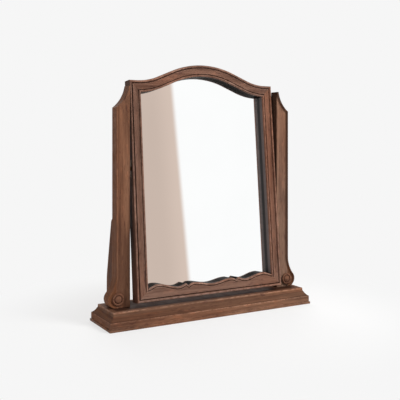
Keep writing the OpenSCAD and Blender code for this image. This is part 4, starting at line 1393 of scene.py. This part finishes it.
class MakeCrest(bpy.types.Operator):
    """Runs the same moulding round the crest: shoulder, hollow, crown, hollow, shoulder"""

    bl_idname = "mirror.make_crest"
    bl_label = "Crest rail"

    def execute(self, context):
        f = context.scene.frame_sizes
        shoulder, crown, hollow_x, hollow = frame_places(f)[1:]
        over = 60 * MM  # drawn this much too long at both ends, for the saw
        turn = math.degrees(f.crest_slope)
        pen = Pen(
            "crest_rail_moulded", (-FRAME_HALF - over, -f.depth / 2, shoulder),
            (0, 0, -1), (0, 1, 0), (0, f.depth - BACK_EASE),
        )
        draw_frame_section(pen, f)
        sweep_line((over + f.shoulder_flat, 0, 0))
        hollow_end = Vector((
            -hollow_x + hollow * math.sin(f.crest_slope), 0,
            shoulder + hollow * (1 - math.cos(f.crest_slope)),
        ))
        crown_start = Vector((
            -f.crown_radius * math.sin(f.crest_slope), 0,
            crown + f.crown_radius * math.cos(f.crest_slope),
        ))
        slope = crown_start - hollow_end
        sweep_arc((-hollow_x, 0, shoulder + hollow), (0, -1, 0), turn, 14)
        sweep_line(slope)
        sweep_arc((0, 0, crown), (0, -1, 0), -2 * turn, 48)
        sweep_line((slope.x, 0, -slope.z))
        sweep_arc((hollow_x, 0, shoulder + hollow), (0, -1, 0), turn, 14)
        sweep_line((over + f.shoulder_flat, 0, 0))
        outward()
        saw((-FRAME_HALF, 0, shoulder + FRAME_KERF), (-1, 0, -1))
        saw((FRAME_HALF, 0, shoulder + FRAME_KERF), (1, 0, -1))
        outward()
        leave_edit()
        finish_member(pen.piece, f, "frame walnut across", "crest_rail")
        return {"FINISHED"}


def ease_between(a, b, t):
    """A height that leaves a and reaches b level, a share t of the way."""
    return a + (b - a) * (1 - math.cos(math.pi * t)) / 2


def edge_height(e, x, end_x):
    """Height of the shaped groove above the frame's bottom edge, at a place from the middle."""
    quarter = math.pi / 2
    if x < e.lobe_x:
        return ease_between(e.middle, e.lobe, x / e.lobe_x)
    if x < e.notch_x:
        t = (x - e.lobe_x) / (e.notch_x - e.lobe_x)
        return e.notch + (e.lobe - e.notch) * math.cos(quarter * t)
    if x < e.point_x:
        return e.notch + (e.point - e.notch) * (x - e.notch_x) / (e.point_x - e.notch_x)
    if x < e.dip_x:
        t = (x - e.point_x) / (e.dip_x - e.point_x)
        return e.point + (e.dip - e.point) * math.sin(quarter * t)
    if x < e.hump_x:
        return ease_between(e.dip, e.hump, (x - e.dip_x) / (e.hump_x - e.dip_x))
    return ease_between(e.hump, e.end, min(1, (x - e.hump_x) / (end_x - e.hump_x)))


def edge_stations(e, last):
    """Distances from the middle where the shaped edge is set out, its turning points included."""
    stretches = (
        (0, e.lobe_x, 18), (e.lobe_x, e.notch_x, 8), (e.notch_x, e.point_x, 4),
        (e.point_x, e.dip_x, 10), (e.dip_x, e.hump_x, 18), (e.hump_x, last, 10),
    )
    places = [a + (b - a) * i / count for a, b, count in stretches for i in range(count)]
    return places + [last]


class MakeBottomRail(bpy.types.Operator):
    """Models the bottom rail, whose groove and inner bead follow the shaped edge"""

    bl_idname = "mirror.make_bottom_rail"
    bl_label = "Bottom rail"

    def execute(self, context):
        f, e = context.scene.frame_sizes, context.scene.shaped_edge
        low = frame_places(f)[0]
        face = face_width(f)
        sight_half = FRAME_HALF - face
        end_x = sight_half + 2 * f.inner_bead
        glass_in = e.middle + 2 * f.inner_bead - f.glass_lap
        piece = self.draw_section(f, low, edge_height(e, 0, end_x), glass_in)
        before = 0
        for x in edge_stations(e, sight_half)[1:]:
            sweep_line((x - before, 0, 0))
            lift = edge_height(e, x, end_x) - edge_height(e, before, end_x)
            self.lift_upper(piece, f, low, glass_in, lift)
            before = x
        sweep_line((face, 0, 0))
        saw((FRAME_HALF, 0, low - FRAME_KERF), (1, 0, 1))
        outward()
        leave_edit()
        self.trim_corner(piece, sight_half, low + face)
        add_modifier(piece, "MIRROR", use_axis=(True, False, False), merge_threshold=WELD)
        enter_edit(piece)
        outward()
        leave_edit()
        finish_member(piece, f, "bottom rail walnut", "bottom_rail")
        return {"FINISHED"}

    def draw_section(self, f, low, wave, glass_in):
        """Draws the section at the middle; wave is the height of the shaped groove there."""
        field_low = 2 * f.bead + f.quirk
        field_high = wave - f.groove / 2
        ease, back = FRAME_EASE, f.cove_back
        pen = Pen(
            "bottom_rail_moulded", (0, -f.depth / 2, low), (0, 0, 1), (0, 1, 0),
            (0, f.depth - BACK_EASE),
        )
        draw_outer_bead(pen, f)
        pen.line(
            (field_low, f.quirk_depth), (field_low, back + ease), (field_low + ease, back),
            (field_low + 3 * ease, back), (field_high - 3 * ease, back), (field_high - ease, back),
            (field_high, back + ease), (field_high, f.quirk_depth),
        )
        draw_inner_side(pen, f, wave + 2 * f.inner_bead + 1 * MM, glass_in)
        return pen.piece

    def lift_upper(self, piece, f, low, glass_in, lift):
        """Raises what follows the shaped edge in the last station, before and behind the glass."""
        front_fixed = low + 2 * f.bead + f.quirk + 4 * FRAME_EASE
        back_fixed = low + glass_in + 0.1 * MM
        glass = f.glass_depth - f.depth / 2 - 0.1 * MM
        mesh = bmesh.from_edit_mesh(piece.data)
        for v in mesh.verts:
            if v.select and v.co.z > (back_fixed if v.co.y > glass else front_fixed):
                v.co.z += lift
        bmesh.update_edit_mesh(piece.data)

    def trim_corner(self, piece, sight_half, height):
        """Cuts the end upright above the mitre, beside the stile's inner bead."""
        past = 0.2
        cutter = box_piece(
            "corner", (sight_half, -past, height), (sight_half + past, past, height + past)
        )
        leave_edit()
        carve(piece, cutter)


# ---------- fittings ----------


class DressFittings(bpy.types.Operator):
    """Gives the slips, glass, backing board, inner blocks and fittings their finishes"""

    bl_idname = "mirror.dress_fittings"
    bl_label = "Fittings"

    finishes = {
        "grey slip": ("left_slip", "right_slip"),
        "dark slip": ("crest_slip", "bottom_slip"),
        "mirror silver": ("mirror_glass",),
        "brown hardboard": ("backing_board",),
        "inner wood": (
            "left_post_block", "right_post_block", "cross_rail", "brace_dowels", "mitre_dowels",
        ),
        "satin brass": ("left_bush", "right_bush", "left_pivot", "right_pivot"),
        "zinc steel": ("panel_screws", "post_bolts", "backing_screws"),
        "browned steel": ("plate_screws",),
        "dark fibre": ("left_washer", "right_washer"),
    }

    def execute(self, context):
        for finish, nodes in self.finishes.items():
            for name in nodes:
                coat_node(name, finish)
        return {"FINISHED"}


# ---------- stage ----------

# The camera stands level, round to the left, and its view is shifted down to the object.
CAMERA_PLACE = (-1.3523, -2.3463, 0.6881)
CAMERA_TURN = -29.5  # degrees
CAMERA_LENS = 60.76  # millimetres, on a sensor 36 wide
CAMERA_SHIFT = -0.1501

# Each lamp's name, place, size in metres and power in watts; all look at the mirror's middle.
LAMPS = (
    ("key lamp", (1.8, -2.3, 2.8), 1.2, 108),
    ("fill lamp", (-2.6, -1.6, 1.6), 2.2, 16),
    ("back lamp", (1.0, 2.8, 2.2), 2.2, 60),
)
LAMPS_AIM = (0, 0, 0.5)

# The room's light comes mostly from this direction.
ROOM_TOWARDS = (0.62, -0.42, 0.66)
ROOM_DIM, ROOM_BRIGHT = (0.17, 0.15, 0.14, 1), (0.5, 0.49, 0.48, 1)

# Square to the plane that parts the white wall from the card in what the glass reflects.
CARD_PLANE = (0.8834, 0.4687, 0.0052)
WHITE = (1, 1, 1, 1)


def room_seen_in_glass(desk, direction, look):
    """The white wall, the beige card on its left and the pale room beyond, by direction."""
    place = desk.reach(direction, CARD_PLANE)
    lit = tuple(min(1.0, c * 1.12) for c in look.card)
    card = desk.mix(desk.span(place, -0.035, 0.0), (*look.card, 1), (*lit, 1))
    left = desk.mix(desk.span(place, -0.2, -0.15), (*look.backdrop, 1), card)
    return desk.mix(desk.span(place, -0.004, 0.0045), left, WHITE)


class MakeStage(bpy.types.Operator):
    """Sets the pale floor, the room's light, the lamps and the camera"""

    bl_idname = "mirror.make_stage"
    bl_label = "Stage"

    def execute(self, context):
        scene = context.scene
        scene.view_settings.view_transform = "Standard"
        self.make_floor(scene.mirror_finish)
        self.make_room(scene)
        for lamp in LAMPS:
            self.make_lamp(scene, *lamp)
        self.make_camera(scene)
        return {"FINISHED"}

    def make_floor(self, look):
        """A round floor that takes shadows near the mirror and is plain backdrop further off."""
        bpy.ops.object.select_all(action="DESELECT")
        bpy.ops.mesh.primitive_circle_add(vertices=96, radius=2.6, fill_type="NGON")
        floor = bpy.context.object
        floor.name = floor.data.name = "floor"
        desk, shader, place = start_material("pale floor")
        pale = (*look.backdrop, 1)
        shader.inputs["Base Color"].default_value = pale
        shader.inputs["Roughness"].default_value = 0.9
        shader.inputs["Specular IOR Level"].default_value = 0.1
        plain = desk.node("Emission", Color=pale)
        away = desk.node("VectorMath", operation="LENGTH")
        desk.link(place, away.inputs[0])
        far = desk.span(away.outputs["Value"], 0.35, 0.95, 0.64, 1.0)
        path = desk.node("LightPath")
        seen = desk.math("MAXIMUM", path.outputs["Is Camera Ray"], path.outputs["Is Glossy Ray"])
        desk.show(desk.math("MULTIPLY", far, seen), shader, plain, "OUTPUT_MATERIAL")
        floor.data.materials.append(bpy.data.materials["pale floor"])

    def make_room(self, scene):
        """Soft light from all round, behind a pale backdrop; the glass sees a wall and a card."""
        look = scene.mirror_finish
        scene.world = bpy.data.worlds.new("pale room")
        scene.world.use_nodes = True
        desk = Desk(scene.world.node_tree)
        light = find_node(desk.tree, "BACKGROUND")
        direction = desk.node("TexCoord").outputs["Generated"]
        lit = desk.span(desk.reach(direction, ROOM_TOWARDS), -0.9, 0.9)
        desk.link(desk.mix(lit, ROOM_DIM, ROOM_BRIGHT), light.inputs["Color"])
        path = desk.node("LightPath")
        room = room_seen_in_glass(desk, direction, look)
        seen = desk.node("Background")
        tone = desk.mix(path.outputs["Is Glossy Ray"], (*look.backdrop, 1), room)
        desk.link(tone, seen.inputs["Color"])
        shown = desk.math("MAXIMUM", path.outputs["Is Camera Ray"], path.outputs["Is Glossy Ray"])
        shown = desk.math("MAXIMUM", shown, path.outputs["Is Transmission Ray"])
        desk.show(shown, light, seen, "OUTPUT_WORLD")

    def make_lamp(self, scene, name, place, size, power):
        """A square soft lamp that the glass and the metal don't mirror."""
        data = bpy.data.lights.new(name, "AREA")
        data.size = size
        data.energy = power
        lamp = bpy.data.objects.new(name, data)
        scene.collection.objects.link(lamp)
        lamp.location = place
        aim = Vector(LAMPS_AIM) - Vector(place)
        lamp.rotation_euler = aim.to_track_quat("-Z", "Y").to_euler()
        lamp.visible_glossy = False

    def make_camera(self, scene):
        """The camera at the photograph's angle."""
        data = bpy.data.cameras.new("camera")
        data.lens = CAMERA_LENS
        data.sensor_width = 36
        data.shift_y = CAMERA_SHIFT
        camera = bpy.data.objects.new("camera", data)
        scene.collection.objects.link(camera)
        camera.location = CAMERA_PLACE
        camera.rotation_euler = (math.radians(90), 0, math.radians(CAMERA_TURN))
        scene.camera = camera


class MirrorPanel(bpy.types.Panel):
    """Lists the mirror's pieces, sizes and colours in the sidebar"""

    bl_idname = "VIEW3D_PT_dressing_mirror"
    bl_label = "Dressing mirror"
    bl_space_type = "VIEW_3D"
    bl_region_type = "UI"
    bl_category = "Mirror"

    def draw(self, context):
        for step in STEPS:
            self.layout.operator(step.bl_idname)
        for title in GROUPS:
            group = getattr(context.scene, title)
            box = self.layout.box()
            for name in group.bl_rna.properties.keys():
                if name not in ("rna_type", "name"):
                    box.prop(group, name)


# The operators in the order in which main calls them.
STEPS = (
    MakeStage, MakeBase, MakeUprights, MakeRosettes, MakeBraces,
    MakeStiles, MakeCrest, MakeBottomRail, DressFittings,
)
# The groups of sizes and colours, by their names in the scene.
GROUPS = {
    "frame_sizes": FrameSizes,
    "shaped_edge": ShapedEdge,
    "stand_sizes": StandSizes,
    "mirror_finish": Finish,
}
CLASSES = (*GROUPS.values(), *STEPS, MirrorPanel)


def register():
    """Makes the classes and the scene's groups of sizes and colours known to Blender."""
    for each in CLASSES:
        bpy.utils.register_class(each)
    for name, group in GROUPS.items():
        setattr(bpy.types.Scene, name, PointerProperty(type=group))


def unregister():
    """Takes the groups and the classes away again."""
    for name in GROUPS:
        delattr(bpy.types.Scene, name)
    for each in reversed(CLASSES):
        bpy.utils.unregister_class(each)


def main():
    """Builds the stage and every piece."""
    register()
    bpy.ops.mirror.make_stage()
    bpy.ops.mirror.make_base()
    bpy.ops.mirror.make_uprights()
    bpy.ops.mirror.make_rosettes()
    bpy.ops.mirror.make_braces()
    bpy.ops.mirror.make_stiles()
    bpy.ops.mirror.make_crest()
    bpy.ops.mirror.make_bottom_rail()
    bpy.ops.mirror.dress_fittings()


if __name__ == "__main__":
    main()
